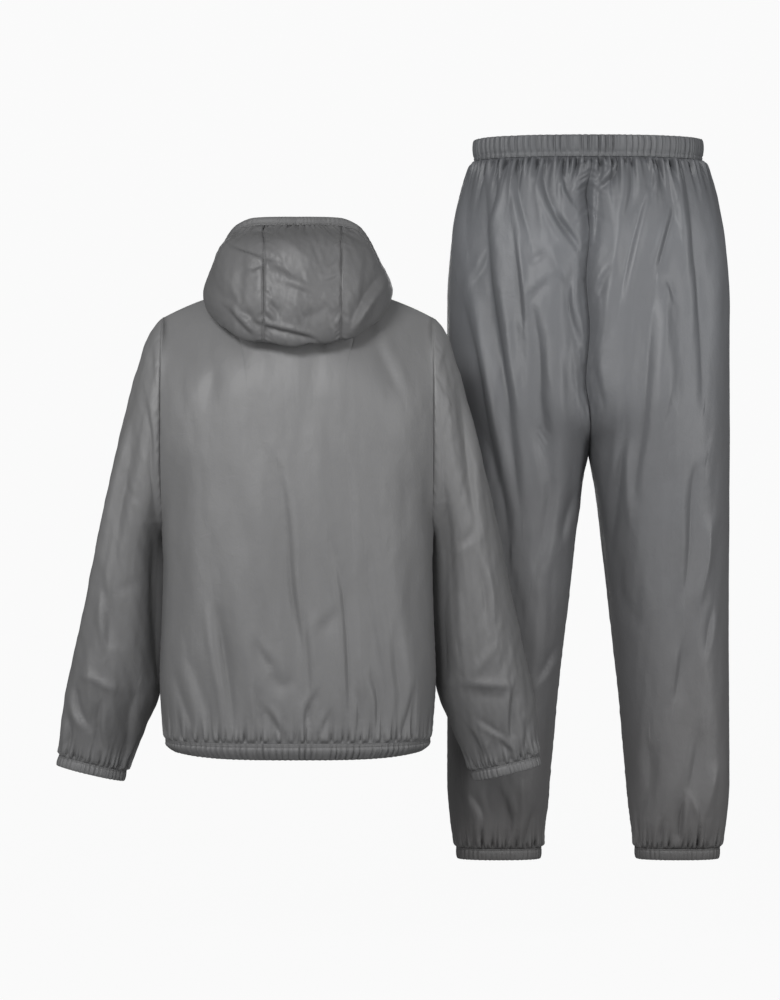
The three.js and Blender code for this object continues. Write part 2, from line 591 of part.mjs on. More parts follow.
function buildHood() {
  const seamAt = (side, height) => readTable(HOOD_SEAMS, side, height);
  // Half the gap at a panel's seam, as an angle; the hood narrows towards its casing
  const seamHalf = (height) => THREE.MathUtils.radToDeg(SEAM_GAP / 2 / HOOD_SEAM_RADIUS) * (1 + height);
  const panels = [
    {
      name: 'hood_side_left', count: HOOD_COLUMNS.side, start: () => -HOOD_FRONT_ANGLE,
      end: (height) => seamAt('left', height) - seamHalf(height),
      atFront: (i) => i === 0,
    },
    {
      name: 'hood_centre', count: HOOD_COLUMNS.centre,
      start: (height) => seamAt('left', height) + seamHalf(height),
      end: (height) => seamAt('right', height) - seamHalf(height),
      atFront: () => false,
    },
    {
      name: 'hood_side_right', count: HOOD_COLUMNS.side,
      start: (height) => seamAt('right', height) + seamHalf(height), end: () => HOOD_FRONT_ANGLE,
      atFront: (i) => i === HOOD_COLUMNS.side,
    },
  ];
  for (const { name, count, start, end, atFront } of panels) {
    addPiece(jacket, name, hoodCloth, clothWall({
      surface: (share, height) => hoodPoint(mix(start(height), end(height), share), height),
      us: steps(count), vs: HOOD_ROWS,
      hold: (i, j) => {
        if (atFront(i)) return X_AXIS;
        return j === HOOD_ROWS.length - 1 ? casingLead(mix(start(1), end(1), i / count)) : null;
      },
    }));
  }
  const rimStops = [-HOOD_FRONT_ANGLE, seamAt('left', 1), seamAt('right', 1), HOOD_FRONT_ANGLE];
  const casingAngles = panels.flatMap(({ count }, panel) => steps(count).slice(panel ? 1 : 0)
    .map((share) => mix(rimStops[panel], rimStops[panel + 1], share)));
  addPiece(jacket, 'hood_casing', hoodCloth, clothWall({
    surface: (angle, share) => hoodPoint(angle, 1)
      .addScaledVector(casingLead(angle), 2 * SEAM_GAP + share * HOOD_CASING.width),
    us: casingAngles, vs: [0, 1], thickness: BAND_WALL,
    hold: (i, j) => {
      if (i === 0 || i === casingAngles.length - 1) return X_AXIS;
      return j === 0 ? casingLead(casingAngles[i]) : null;
    },
  }));
}

// Which way the casing carries on from the hood's edge
function casingLead(angle) {
  const runOut = hoodPoint(angle, 1).sub(hoodPoint(angle, 0.97)).normalize();
  return runOut.lerp(Z_AXIS, HOOD_CASING.leanIn).normalize();
}

// Trousers

// across: 0 at the outer seam, 1 at the centre seam or inner leg seam
function legPoint(across, down, face, side) {
  const read = (column) => readTable(LEG, column, down);
  const outX = read('outX');
  const inX = read('inX');
  const sunk = THREE.MathUtils.clamp((down - SEAT.start) / (SEAT.crotch - SEAT.start), 0, 1);
  const wrap = QUARTER * (1 - Math.sqrt(1 - sunk * sunk));
  const halfWidth = (outX - inX) / (1 + Math.sin(wrap));
  const sine = Math.sin(QUARTER - across * (QUARTER + wrap));
  const x = side * (outX - halfWidth + halfWidth * sine);
  const rounded = roundedDepth(sine, TROUSER_FULLNESS);
  const folds = foldRise(face === BACK ? SEAT_FOLDS : LAP_FOLDS, x, -down);
  const fade = THREE.MathUtils.smoothstep(down, 0, 30) * THREE.MathUtils.smoothstep(ANKLE.seam - down, 0, 40);
  const depth = read(face === BACK ? 'back' : 'front') * rounded + folds * fade * rounded;
  return new THREE.Vector3(x, face * (depth + SEAM_GAP / 2), -down);
}

const LEG_ROWS = [0, 16, 42, 86, 141, 205, 270, 325, 370, 402, SEAT.crotch, 465, 535, 620, 715, 810, 895,
  955, 995, ANKLE.seam];

function buildLegs() {
  const last = LEG_ROWS.length - 1;
  for (const [sideName, side] of [['left', LEFT], ['right', RIGHT]]) {
    for (const [faceName, face] of [['back', BACK], ['front', FRONT]]) {
      addPiece(trousers, `leg_${faceName}_${sideName}`, trouserCloth, clothWall({
        surface: (across, down) => legPoint(across, down, face, side),
        us: steps(10), vs: LEG_ROWS, turn: -face * side,
        hold: (i, j) => {
          if (j === 0 || j === last) return Z_AXIS;
          if (i === 0 || (i === 10 && LEG_ROWS[j] >= SEAT.crotch)) return Y_AXIS;
          return null;
        },
      }));
    }
  }
}

function buildWaistband() {
  addPiece(trousers, 'waistband', trouserCloth, gatheredBand({
    level: (share) => ({ ...WAISTBAND, fullness: TROUSER_FULLNESS, z: SEAM_GAP + share * WAISTBAND.height }),
    from: -Math.PI, to: Math.PI, gathers: GATHERS.waist, ring: true, turn: 1, heights: [0, 0.5, 1],
    hold: (i, j) => (j === 1 ? null : Z_AXIS),
  }));
}

function buildAnkleCuff(name, side) {
  const foot = LEG[LEG.length - 1];
  const cuff = addPiece(trousers, name, trouserCloth, gatheredBand({
    level: (share) => ({
      halfWidth: (foot.outX - foot.inX) / 2 - 2 * share,
      back: foot.back - 2 * share,
      front: foot.front - 2 * share,
      fullness: TROUSER_FULLNESS,
      z: -SEAM_GAP - share * ANKLE.cuffHeight,
    }),
    from: -Math.PI, to: Math.PI, gathers: GATHERS.ankle, ring: true, turn: -1, heights: [0, 1],
    hold: () => Z_AXIS,
  }));
  cuff.position.set((side * (foot.outX + foot.inX)) / 2, 0, -ANKLE.seam);
}

// Front zip

const ZIP = { halfWidth: 3.7, proud: 0.5, wall: 2, rows: 22 };
const SLIDER = { width: 8, height: 10, depth: 2.6, z: -30, chamfer: 1.6 };
const BRIDGE = { width: 2, span: 6.4, clear: 2.6, hollow: 3.6, wall: 1.2 };
const TAB = { width: 5.8, thickness: 1.2, length: 24, bar: 1.2, window: 6.4, rail: 1.3, cornerRadius: 1.8 };

// The line down the centre front, from the chin to the bottom of the hem band
function centreFrontLine() {
  const collar = [1, 0.85, 0.7, 0.5, 0.3, 0.15].map((height) => hoodPoint(HOOD_FRONT_ANGLE, height));
  const body = [0, 0.3, 0.5, 0.75, 1, 1.25, 1.5, 1.75, 1.95].map((down) => torsoPoint(0, down, FRONT, RIGHT));
  const top = collar[0].clone().addScaledVector(Z_AXIS, HOOD_CASING.width);
  const bottom = new THREE.Vector3(0, HEM_BAND.fronts[2], HEM_SEAM_Z - HEM_BAND.height);
  const points = [top, ...collar, ...body, bottom].map((point) => new THREE.Vector3(0, point.y, point.z));
  return new THREE.CatmullRomCurve3(points);
}

function extrudeSheet(outline, thickness) {
  return new THREE.ExtrudeGeometry(outline, { depth: thickness, bevelEnabled: false, curveSegments: 4 });
}

function toManifold(geometry) {
  geometry.deleteAttribute('normal');
  geometry.deleteAttribute('uv');
  const merged = mergeVertices(geometry, 1e-4);
  return new wasm.Manifold(new wasm.Mesh({
    numProp: 3,
    vertProperties: new Float32Array(merged.attributes.position.array),
    triVerts: new Uint32Array(merged.index.array),
  }));
}

function fromManifold(solid) {
  const { vertProperties, triVerts } = solid.getMesh();
  const geometry = new THREE.BufferGeometry();
  geometry.setAttribute('position', new THREE.BufferAttribute(new Float32Array(vertProperties), 3));
  geometry.setIndex(new THREE.BufferAttribute(new Uint32Array(triVerts), 1));
  geometry.computeVertexNormals();
  return geometry;
}

// The slider: a tapered body with a bridge over the tab's crossbar
function sliderSolid() {
  const { width, height, depth, chamfer } = SLIDER;
  const body = new THREE.Shape([
    new THREE.Vector2(-width / 2 + chamfer, -height / 2),
    new THREE.Vector2(width / 2 - chamfer, -height / 2),
    new THREE.Vector2(width / 2, height / 2 - chamfer),
    new THREE.Vector2(width / 2 - chamfer, height / 2),
    new THREE.Vector2(-width / 2 + chamfer, height / 2),
    new THREE.Vector2(-width / 2, height / 2 - chamfer),
  ]);
  const bodySolid = extrudeSheet(body, depth);
  bodySolid.rotateX(QUARTER);
  bodySolid.translate(0, depth, 0);
  const { span, clear, hollow, wall } = BRIDGE;
  const arch = new THREE.Shape([
    new THREE.Vector2(-wall / 2, -span / 2),
    new THREE.Vector2(clear + wall / 2, -span / 2),
    new THREE.Vector2(clear + wall, -span / 2 + wall / 2),
    new THREE.Vector2(clear + wall, span / 2 - wall / 2),
    new THREE.Vector2(clear + wall / 2, span / 2),
    new THREE.Vector2(-wall / 2, span / 2),
  ]);
  arch.holes.push(new THREE.Path([
    new THREE.Vector2(0, -hollow / 2),
    new THREE.Vector2(0, hollow / 2),
    new THREE.Vector2(clear, hollow / 2),
    new THREE.Vector2(clear, -hollow / 2),
  ]));
  const archSolid = extrudeSheet(arch, BRIDGE.width);
  // Its outline's x becomes the way out of the body (y), and its outline's y the height (z)
  const upright = new THREE.Matrix4().makeBasis(Y_AXIS, Z_AXIS, X_AXIS);
  upright.setPosition(-BRIDGE.width / 2, depth, 0);
  archSolid.applyMatrix4(upright);
  return fromManifold(toManifold(bodySolid).add(toManifold(archSolid)));
}

// The pull tab, hanging from its crossbar at the origin
function tabSolid() {
  const { width, thickness, length, bar, window, rail, cornerRadius: r } = TAB;
  const half = width / 2;
  const outline = new THREE.Shape();
  outline.moveTo(-half, bar / 2);
  outline.lineTo(-half, -length + r);
  outline.absarc(-half + r, -length + r, r, Math.PI, 1.5 * Math.PI, false);
  outline.absarc(half - r, -length + r, r, 1.5 * Math.PI, 2 * Math.PI, false);
  outline.lineTo(half, bar / 2);
  outline.closePath();
  outline.holes.push(new THREE.Path([
    new THREE.Vector2(-half + rail, -bar / 2),
    new THREE.Vector2(half - rail, -bar / 2),
    new THREE.Vector2(half - rail, -bar / 2 - window),
    new THREE.Vector2(-half + rail, -bar / 2 - window),
  ]));
  const tab = extrudeSheet(outline, thickness);
  tab.rotateX(QUARTER);
  tab.translate(0, thickness / 2, 0);
  return tab;
}

function buildZip() {
  const line = centreFrontLine();
  addPiece(jacket, 'zip_strip', zipTape, clothWall({
    surface: (across, down) => line.getPoint(down)
      .addScaledVector(X_AXIS, across * ZIP.halfWidth).addScaledVector(Y_AXIS, ZIP.proud),
    us: [-1, 0, 1], vs: steps(ZIP.rows), thickness: ZIP.wall, hold: () => X_AXIS,
  }));
  const faceY = Math.max(...steps(200).map((at) => line.getPoint(at))
    .filter((point) => Math.abs(point.z - SLIDER.z) < SLIDER.height / 2 + 1)
    .map((point) => point.y)) + ZIP.proud;
  const slider = addPiece(jacket, 'zip_slider', zipMetal, sliderSolid());
  slider.position.set(0, faceY + SEAM_GAP, SLIDER.z);
  const tab = addPiece(jacket, 'zip_pull_tab', zipMetal, tabSolid());
  tab.position.set(0, faceY + SEAM_GAP + SLIDER.depth + BRIDGE.clear / 2, SLIDER.z);
}

buildTorso();
buildHemBand();
buildSleeve('sleeve_left', 'cuff_left', LEFT);
buildSleeve('sleeve_right', 'cuff_right', RIGHT);
buildHood();
buildZip();
buildWaistband();
buildLegs();
buildAnkleCuff('ankle_cuff_left', LEFT);
buildAnkleCuff('ankle_cuff_right', RIGHT);

const set = new THREE.Group();
set.add(jacket, trousers);
export default set;
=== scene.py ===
"""A grey hooded wind jacket and matching elastic-waist trousers, seen from behind.

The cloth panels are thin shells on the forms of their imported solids, with the creases, gathers, seams
and stitches of the real garments. Pattern sizes are in millimetres, and Blender's own units are metres.
"""

import math

import bpy
import numpy as np
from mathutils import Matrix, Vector


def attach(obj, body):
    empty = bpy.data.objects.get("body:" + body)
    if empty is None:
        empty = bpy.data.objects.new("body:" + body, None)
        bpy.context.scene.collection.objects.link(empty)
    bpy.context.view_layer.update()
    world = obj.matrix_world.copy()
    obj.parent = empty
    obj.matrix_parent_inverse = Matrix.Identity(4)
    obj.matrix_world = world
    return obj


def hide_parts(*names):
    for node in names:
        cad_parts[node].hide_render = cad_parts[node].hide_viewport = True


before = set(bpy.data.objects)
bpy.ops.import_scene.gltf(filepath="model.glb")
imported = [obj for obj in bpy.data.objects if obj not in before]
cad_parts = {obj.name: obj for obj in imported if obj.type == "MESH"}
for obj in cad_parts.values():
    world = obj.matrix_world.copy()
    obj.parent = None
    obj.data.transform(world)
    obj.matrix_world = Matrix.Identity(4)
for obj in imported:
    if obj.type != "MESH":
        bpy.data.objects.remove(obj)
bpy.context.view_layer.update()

MM = 0.001
QUARTER = math.pi / 2
BACK, FRONT = -1, 1
LEFT, RIGHT = -1, 1
HANDS = {"left": LEFT, "right": RIGHT}

# Sizes shared with the solids

NECK = {"half_width": 85, "back": 75, "front": 95, "point_z": 14, "back_dip": 9, "front_drop": 89}
SHOULDER = {"slope": 0.2, "curve": 0.0016, "round_over": 150, "round_power": 0.8}
ARMHOLE = {
    "x": 192, "top_z": -25.7, "bottom_z": -321, "half_depth": 66,
    "turn_in": 0.36, "ease": 1.5, "reach": 5,
}
TORSO_FULLNESS = 2.6
HEM_SEAM_Z = -622
HEM_BAND = {"height": 21.5, "share": [0, 0.5, 1], "half_width": [187.5, 185.5, 177],
            "back": [118, 117, 110], "front": [112, 111, 104]}
ZIP_HALF_GAP = 4
WAIST_AT = np.array([426, 255, 219.4])
TROUSER_FULLNESS = 2.4
SEAT = {"start": 160, "crotch": 422.4}
WAISTBAND = {"height": 32.5, "half_width": 169, "back": 94, "front": 87}
ANKLE = {"seam": 1020.4, "cuff_height": 17}

# Half widths and half depths of the jacket's body, by the distance below the neck
TORSO = {
    "drop": [-14, 170, 321, 369, 450, 535, 600, 622],
    "half_width": [192, 192, 192, 189.5, 191.5, 194.5, 190.5, 187.5],
    "back": [124, 129, 131, 129, 127, 126, 122, 118],
    "front": [112, 118, 123, 122, 121, 119, 115, 112],
}

# The right sleeve's ribs: each runs from the outer edge to the inner edge (x, z); the left mirrors it
SLEEVE = {
    "along": [0, 0.08, 0.2, 0.35, 0.5, 0.65, 0.8, 0.91, 1],
    "out_x": [192, 207, 227.5, 250.5, 278, 302.5, 323, 337.5, 344.5],
    "out_z": [-25.7, -45, -102, -190, -305, -420, -512, -583, -649.5],
    "in_x": [192, 193.4, 194.4, 195.4, 196.4, 198, 200.5, 222, 247.8],
    "in_z": [-321, -324, -328, -337, -366, -457, -548, -610, -672.5],
    "mid_y": [0, 1, 4, 10, 20, 33, 45, 54, 60],
    "half_depth": [66, 67, 67.5, 66, 64, 62, 58, 49, 33],
}
SLEEVE_CUFF = {"height": 15.5, "squeeze": 0.99}

# The hood's profile by the angle from the centre back: distances from the neck's axis, and heights
HOOD = {
    "angle": [0, 30, 45, 60, 75, 90, 120, 150, 180],
    "yoke_r": [112, 113, 114, 112, 108, 105, 98, 97, 98.5],
    "yoke_z": [-6, -4, 0, 5, 10, 14.5, -3, -47, -65],
    "fold_r": [150, 150, 145, 138, 131, 127, 112, 103, 101],
    "fold_z": [-72, -60, -42, -22, -4, 9, -8, -44, -54],
    "belly_r": [168, 165, 157, 147, 137, 130, 120, 108, 103.5],
    "belly_z": [-8, -6, -3, 2, 10, 16, 4, -24, -36],
    "crown_r": [143, 143, 137, 127, 121, 119, 119, 109, 104],
    "crown_z": [66, 66, 66, 62, 50, 38, 14, -10, -26],
    "rim_r": [69, 77, 88, 101, 109, 113, 115, 109, 104],
    "rim_z": [100.5, 100.5, 99.5, 90, 68, 48, 22, -2, -18],
}
HOOD_RINGS = ("yoke", "fold", "belly", "crown", "rim")
HOOD_FRONT_ANGLE = 177.5
HOOD_CASING = {"width": 13, "lean_in": 0.75}
# Where the two hood seams run, as angles from the centre back at heights up the hood
HOOD_SEAMS = {
    "height": [0, 0.2, 0.4, 0.6, 0.8, 1],
    "left": [-20, -20, -17, -15, -17.5, -34],
    "right": [28, 29, 24.5, 22.5, 26, 45],
}

# Each leg's outline and depths, by the distance below the waist seam; x is from the centre seam
LEG = {
    "down": [0, 12, 55, 115, 205, 330, 422.4, 473, 563, 682, 802, 921, 981, 1005, 1020.4],
    "out_x": [170.5, 177.5, 191.5, 202, 208.8, 209.2, 209, 208.6, 208.4, 208, 208.6, 209,
              204.5, 200.5, 196.5],
    "in_x": [0, 0, 0, 0, 0, 0, 0, 9, 20.4, 33.6, 47, 58, 64.2, 67.5, 69.7],
    "back": [96, 104, 116, 124, 129, 129, 121, 114, 102, 89, 79, 70, 58, 48, 38],
    "front": [88, 95, 105, 112, 116, 114, 107, 101, 92, 82, 74, 66, 55, 46, 37],
}

# How the photograph was taken: the camera's place, and how many millimetres a pixel spans at y = 0
CAMERA = {"x": 130.6, "distance": 5000, "z": -284, "lens": 126.8, "sensor": 36}
PHOTO = {"middle_x": 390, "middle_y": 500, "pixel": 1.42}

# Creases, one a row: half width and depth in millimetres (a depth below 0 is a ridge), the side its lip
# stands up on (-1 left, 1 right, 0 neither), and the places it runs through in the photograph
BACK_CREASES = [
    (12, 1.8, 1, (213, 362), (208, 385), (202, 412)),
    (22, 3.0, 0, (217, 361), (205, 400), (190, 455)),
    (8, 3.4, -1, (369, 322), (384, 355), (402, 396)),
    (26, -2.6, 0, (352, 352), (375, 400), (392, 452)),
    (9, 5.2, -1, (279, 468), (287, 520), (292, 590), (302, 650), (307, 738)),
    (6, 3.4, 1, (300, 560), (306, 640), (309, 700), (306, 740)),
    (8, 6.4, 1, (213, 602), (220, 645), (227, 690), (233, 738)),
    (8, 4.4, 1, (331, 540), (343, 590), (348, 650), (351, 738)),
    (9, 2.4, -1, (345, 455), (350, 500), (354, 560)),
    (9, 3.6, -1, (366, 556), (372, 620), (384, 690), (386, 738)),
    (9, 1.8, 1, (338, 606), (330, 620), (316, 632)),
    (7, 2.2, -1, (255, 640), (262, 655), (274, 668)),
    (10, 2.6, 0, (268, 676), (284, 686), (296, 678)),
    (5, 2.6, 1, (256, 686), (258, 712), (263, 738)),
    (5, 2.8, -1, (264, 708), (274, 722), (283, 738)),
    (5, 2.8, 1, (318, 690), (309, 708), (306, 724)),
    (5, 2.2, 1, (330, 712), (324, 726), (321, 738)),
    (12, 2.8, 1, (186, 655), (198, 690), (213, 738)),
    (9, 2.2, 1, (171, 672), (182, 705), (196, 738)),
    (6, 2.8, 1, (372, 676), (378, 700), (377, 738)),
    (11, 2.6, -1, (392, 640), (400, 690), (404, 738)),
    (6, 2.4, 1, (413, 690), (409, 712), (402, 738)),
    (5, 2.6, 1, (356, 690), (359, 712), (357, 738)),
    (18, -2.6, 0, (236, 540), (240, 600), (247, 670)),
    (20, 2.2, 0, (178, 500), (176, 580), (178, 650)),
    (20, 2.0, 0, (412, 470), (414, 560), (412, 650)),
    (20, -2.4, 0, (320, 420), (318, 480), (322, 560)),
    (20, -2.2, 0, (262, 430), (262, 500), (266, 600)),
    (16, 2.2, 0, (172, 330), (190, 352), (214, 366)),
    (24, -2.0, 0, (396, 420), (388, 470), (380, 520)),
    (8, -2.2, 0, (360, 600), (361, 660), (364, 720)),
]

FRONT_CREASES = [
    (14, 3.0, 1, (220, 372), (212, 420), (198, 470)),
    (14, 3.0, -1, (372, 360), (384, 405), (402, 452)),
    (10, 4.6, -1, (232, 560), (228, 630), (236, 738)),
    (16, -3.0, 0, (262, 470), (258, 560), (266, 700)),
    (10, 4.2, 1, (352, 520), (358, 610), (352, 738)),
    (15, -3.0, 0, (388, 480), (394, 580), (386, 700)),
    (9, 3.0, 1, (190, 600), (198, 670), (206, 738)),
    (18, 2.6, 0, (330, 420), (322, 500), (326, 600)),
    (9, 3.0, -1, (406, 620), (404, 690), (398, 738)),
    (7, 3.0, 1, (278, 640), (276, 690), (281, 738)),
    (7, 3.0, -1, (318, 660), (322, 700), (318, 738)),
]

SLEEVE_CREASES = {
    LEFT: [
        (11, 11, 0, (155, 520), (154, 600), (156, 690)),
        (9, 5.0, -1, (146, 395), (153, 440), (156, 480), (162, 522)),
        (6, 3.4, -1, (154, 338), (155, 372), (161, 404)),
        (12, 4.2, 1, (133, 385), (130, 450), (119, 520), (113, 600), (108, 655)),
        (6, 3.2, 1, (103, 585), (107, 615), (110, 652)),
        (5, 1.2, 0, (121, 485), (130, 492), (140, 502)),
        (5, 1.2, 0, (116, 592), (128, 586), (142, 582)),
        (6, -3.4, 0, (118, 690), (104, 685), (92, 678), (80, 676)),
        (6, 4.6, 1, (74, 690), (76, 712), (88, 730)),
        (6, 4.8, -1, (99, 702), (97, 725), (100, 752)),
        (9, 3.6, -1, (135, 690), (128, 715), (125, 745), (118, 765)),
        (9, -2.6, 0, (110, 640), (114, 690), (110, 740)),
        (7, -2.8, 0, (86, 650), (90, 690), (86, 728)),
        (5, 2.6, 1, (64, 715), (66, 735), (62, 752)),
    ],
    RIGHT: [
        (11, 11, 0, (441, 500), (443, 590), (446, 690)),
        (8, 3.4, 1, (446, 352), (438, 378), (446, 396)),
        (11, 4.6, 1, (440, 420), (443, 480), (449, 560), (458, 640)),
        (7, 4.4, -1, (459, 375), (466, 430), (471, 480), (476, 530)),
        (5, 2.6, -1, (477, 530), (468, 540), (457, 548)),
        (6, 4.6, -1, (478, 560), (486, 595), (487, 632)),
        (13, -3.0, 0, (456, 590), (462, 640), (466, 676)),
        (8, -3.2, 0, (498, 642), (482, 664), (466, 681)),
        (6, -4.2, 0, (463, 683), (485, 684), (512, 686)),
        (10, 2.4, 0, (470, 694), (490, 697), (508, 698)),
        (5, 5.0, 1, (514, 690), (512, 712), (512, 742)),
        (4, 2.6, 1, (479, 721), (492, 730), (506, 738)),
        (4, 2.8, -1, (500, 742), (508, 750), (514, 758)),
        (5, 2.8, 1, (527, 722), (528, 738), (525, 754)),
        (4, 2.6, 1, (492, 742), (490, 755), (495, 766)),
        (6, 2.6, -1, (470, 730), (478, 745), (487, 764)),
    ],
}

SEAT_CREASES = {
    LEFT: [
        (6, 6.0, 1, (543, 160), (546, 190), (560, 222), (580, 247)),
        (5, 4.0, -1, (556, 214), (572, 234), (584, 252)),
        (5, 5.0, 1, (563, 160), (567, 182), (577, 203)),
        (9, -3.4, 0, (549, 245), (564, 272), (577, 286)),
        (8, 6.5, -1, (577, 270), (571, 300), (575, 325), (586, 350)),
        (6, 4.6, 1, (519, 160), (519, 195), (530, 242)),
        (6, 3.8, -1, (499, 160), (496, 196), (489, 220)),
        (10, 6.0, -1, (484, 160), (486, 210), (490, 280), (500, 345), (508, 400), (513, 455), (521, 520)),
        (5, 3.2, -1, (513, 225), (518, 270), (523, 325)),
        (12, 4.6, -1, (530, 298), (539, 345), (541, 400), (547, 450), (554, 500)),
        (6, 2.4, 1, (550, 280), (538, 290), (529, 300)),
        (5, 2.2, 0, (547, 252), (538, 258), (529, 263)),
        (10, 5.0, -1, (460, 285), (475, 350), (487, 425), (504, 500), (510, 545)),
        (5, 2.6, -1, (548, 428), (542, 438), (540, 452)),
        (11, 4.2, -1, (552, 480), (547, 530), (534, 578)),
        (7, 3.4, -1, (578, 492), (570, 515), (562, 540)),
        (6, 3.2, -1, (560, 648), (549, 666), (538, 682)),
        (8, 3.0, 1, (470, 170), (466, 215), (468, 245)),
        (6, 2.2, 1, (490, 245), (482, 265), (472, 285)),
        (7, -3.0, 0, (531, 160), (537, 195), (543, 230)),
        (14, -3.4, 0, (510, 165), (512, 230), (524, 290), (528, 380), (534, 480)),
        (10, -3.0, 0, (472, 290), (486, 380), (500, 450)),
        (16, -3.2, 0, (560, 320), (563, 400), (566, 470)),
        (6, 2.8, 1, (470, 795), (484, 820), (480, 846)),
        (7, 2.8, -1, (505, 800), (512, 825), (507, 850)),
        (6, 2.8, 1, (536, 812), (530, 832), (527, 850)),
        (9, 2.6, -1, (460, 760), (462, 800), (466, 842)),
        (8, -2.4, 0, (522, 780), (524, 810), (519, 845)),
    ],
    RIGHT: [
        (5, 5.0, 1, (620, 160), (614, 176), (603, 189)),
        (6, 5.0, 1, (604, 186), (600, 214), (597, 248)),
        (6, 4.0, 1, (613, 268), (606, 284), (598, 300)),
        (9, -4.6, 0, (620, 196), (617, 250), (610, 300), (603, 345)),
        (6, 3.8, -1, (648, 186), (633, 240), (622, 300)),
        (6, 4.2, 1, (676, 205), (666, 240), (656, 274)),
        (5, 3.4, -1, (651, 160), (653, 172), (652, 192)),
        (10, 5.4, 1, (686, 162), (694, 230), (701, 310), (704, 400)),
        (7, 3.4, -1, (668, 160), (672, 190), (680, 232)),
        (12, 6.5, -1, (655, 286), (650, 330), (645, 400), (639, 450), (632, 505)),
        (4, 3.0, 1, (664, 280), (670, 288), (674, 300)),
        (6, 4.0, 1, (626, 388), (623, 430), (618, 482), (612, 545)),
        (5, 2.4, 0, (671, 395), (668, 420), (666, 442)),
        (5, 2.6, -1, (597, 350), (603, 385), (606, 405)),
        (10, 4.8, 1, (702, 465), (694, 480), (690, 560), (686, 600)),
        (6, -4.2, 0, (722, 515), (712, 526), (708, 565), (699, 605)),
        (5, 2.8, -1, (715, 610), (711, 632), (707, 656)),
        (8, 4.0, 1, (685, 645), (682, 670), (676, 708)),
        (10, 2.4, 0, (628, 555), (622, 585), (632, 612), (646, 627)),
        (7, -3.6, 0, (628, 440), (628, 480), (631, 525)),
        (12, 3.8, 1, (652, 745), (651, 790), (641, 824)),
        (5, 5.0, -1, (686, 800), (684, 822), (683, 848)),
        (5, -2.8, 0, (691, 795), (700, 815), (706, 832)),
        (11, 3.0, 1, (703, 730), (697, 770), (690, 800)),
        (7, -2.8, 0, (722, 765), (714, 795), (708, 822)),
        (5, 2.4, 1, (668, 820), (664, 835), (666, 850)),
        (7, 3.0, 1, (632, 165), (633, 190), (626, 218)),
        (14, -3.4, 0, (664, 300), (668, 380), (664, 450)),
        (18, -3.4, 0, (668, 480), (664, 580), (666, 680)),
        (12, -2.6, 0, (716, 180), (720, 260), (718, 360)),
        (10, -2.8, 0, (606, 400), (604, 460), (606, 520)),
    ],
}

LAP_CREASES = {
    LEFT: [
        (8, 4.6, 1, (550, 160), (548, 210), (566, 262)),
        (12, 4.6, -1, (520, 160), (524, 230), (536, 320), (540, 420)),
        (12, 5.0, 1, (488, 165), (484, 260), (496, 380), (508, 520)),
        (14, -3.4, 0, (572, 300), (564, 380), (560, 470)),
        (13, -3.4, 0, (466, 260), (470, 400), (482, 560)),
        (13, 4.0, -1, (520, 560), (516, 660), (510, 760)),
        (12, 3.6, 1, (480, 640), (478, 740), (486, 840)),
        (7, 3.4, -1, (524, 790), (520, 820), (518, 848)),
    ],
    RIGHT: [
        (8, 4.6, -1, (624, 160), (626, 210), (612, 258)),
        (12, 4.6, 1, (656, 160), (652, 240), (642, 330), (640, 430)),
        (12, 5.0, -1, (690, 165), (694, 260), (684, 380), (670, 520)),
        (14, -3.4, 0, (604, 300), (612, 380), (618, 470)),
        (13, -3.4, 0, (712, 260), (708, 400), (698, 560)),
        (13, 4.0, 1, (660, 560), (662, 660), (668, 760)),
        (12, 3.6, -1, (700, 640), (700, 740), (692, 840)),
        (7, 3.4, 1, (654, 790), (658, 820), (660, 848)),
    ],
}

HOOD_CREASES = [
    (4.5, 4.4, 1, (231, 243), (248, 250), (262, 256), (276, 261)),
    (3.5, 3.0, -1, (250, 270), (259, 267), (268, 261)),
    (8, 3.4, 1, (268, 264), (283, 268), (299, 279)),
    (5, 3.6, -1, (226, 308), (238, 322), (254, 336)),
    (4, 3.2, 1, (240, 311), (250, 318), (257, 329)),
    (4, 4.4, -1, (252, 322), (268, 328), (290, 333), (316, 340)),
    (6, 4.4, -1, (382, 270), (370, 290), (361, 306), (352, 324)),
    (6, -3.2, 0, (377, 288), (364, 308), (352, 331)),
    (8, -2.8, 0, (268, 238), (290, 246), (310, 262)),
    (6, 2.6, -1, (326, 268), (334, 258), (338, 246)),
    (4, 2.6, 1, (268, 305), (274, 310), (280, 318)),
    (3.5, 2.6, -1, (342, 308), (338, 313), (334, 320)),
    (6, 2.0, -1, (285, 285), (296, 290), (312, 296)),
    (5, 2.0, 1, (322, 284), (332, 281), (341, 276)),
    (9, 2.2, 0, (300, 320), (318, 314), (330, 304)),
    (4, 2.4, 1, (252, 232), (258, 228), (266, 230)),
    (5, 2.4, -1, (346, 230), (356, 234), (366, 242)),
    (9, 2.2, 0, (214, 280), (222, 294), (236, 304)),
]


def seen_at(pixels, depth):
    """Where pixels of the photograph fall on the upright plane at a depth, as (x, z)."""
    pixels = np.array(pixels, float)
    scale = PHOTO["pixel"] * (CAMERA["distance"] + depth) / CAMERA["distance"]
    x = CAMERA["x"] + (pixels[:, 0] - PHOTO["middle_x"]) * scale
    z = CAMERA["z"] + (PHOTO["middle_y"] - pixels[:, 1]) * scale
    return np.stack([x, z], axis=1)


def bell(value, width):
    """1 where a value is 0, and falling evenly away on both sides."""
    return np.exp(-((value / width) ** 2))


def smooth(value, low, high):
    """0 below low, 1 above high, and an even S between them."""
    t = np.clip((value - low) / (high - low), 0, 1)
    return t * t * (3 - 2 * t)


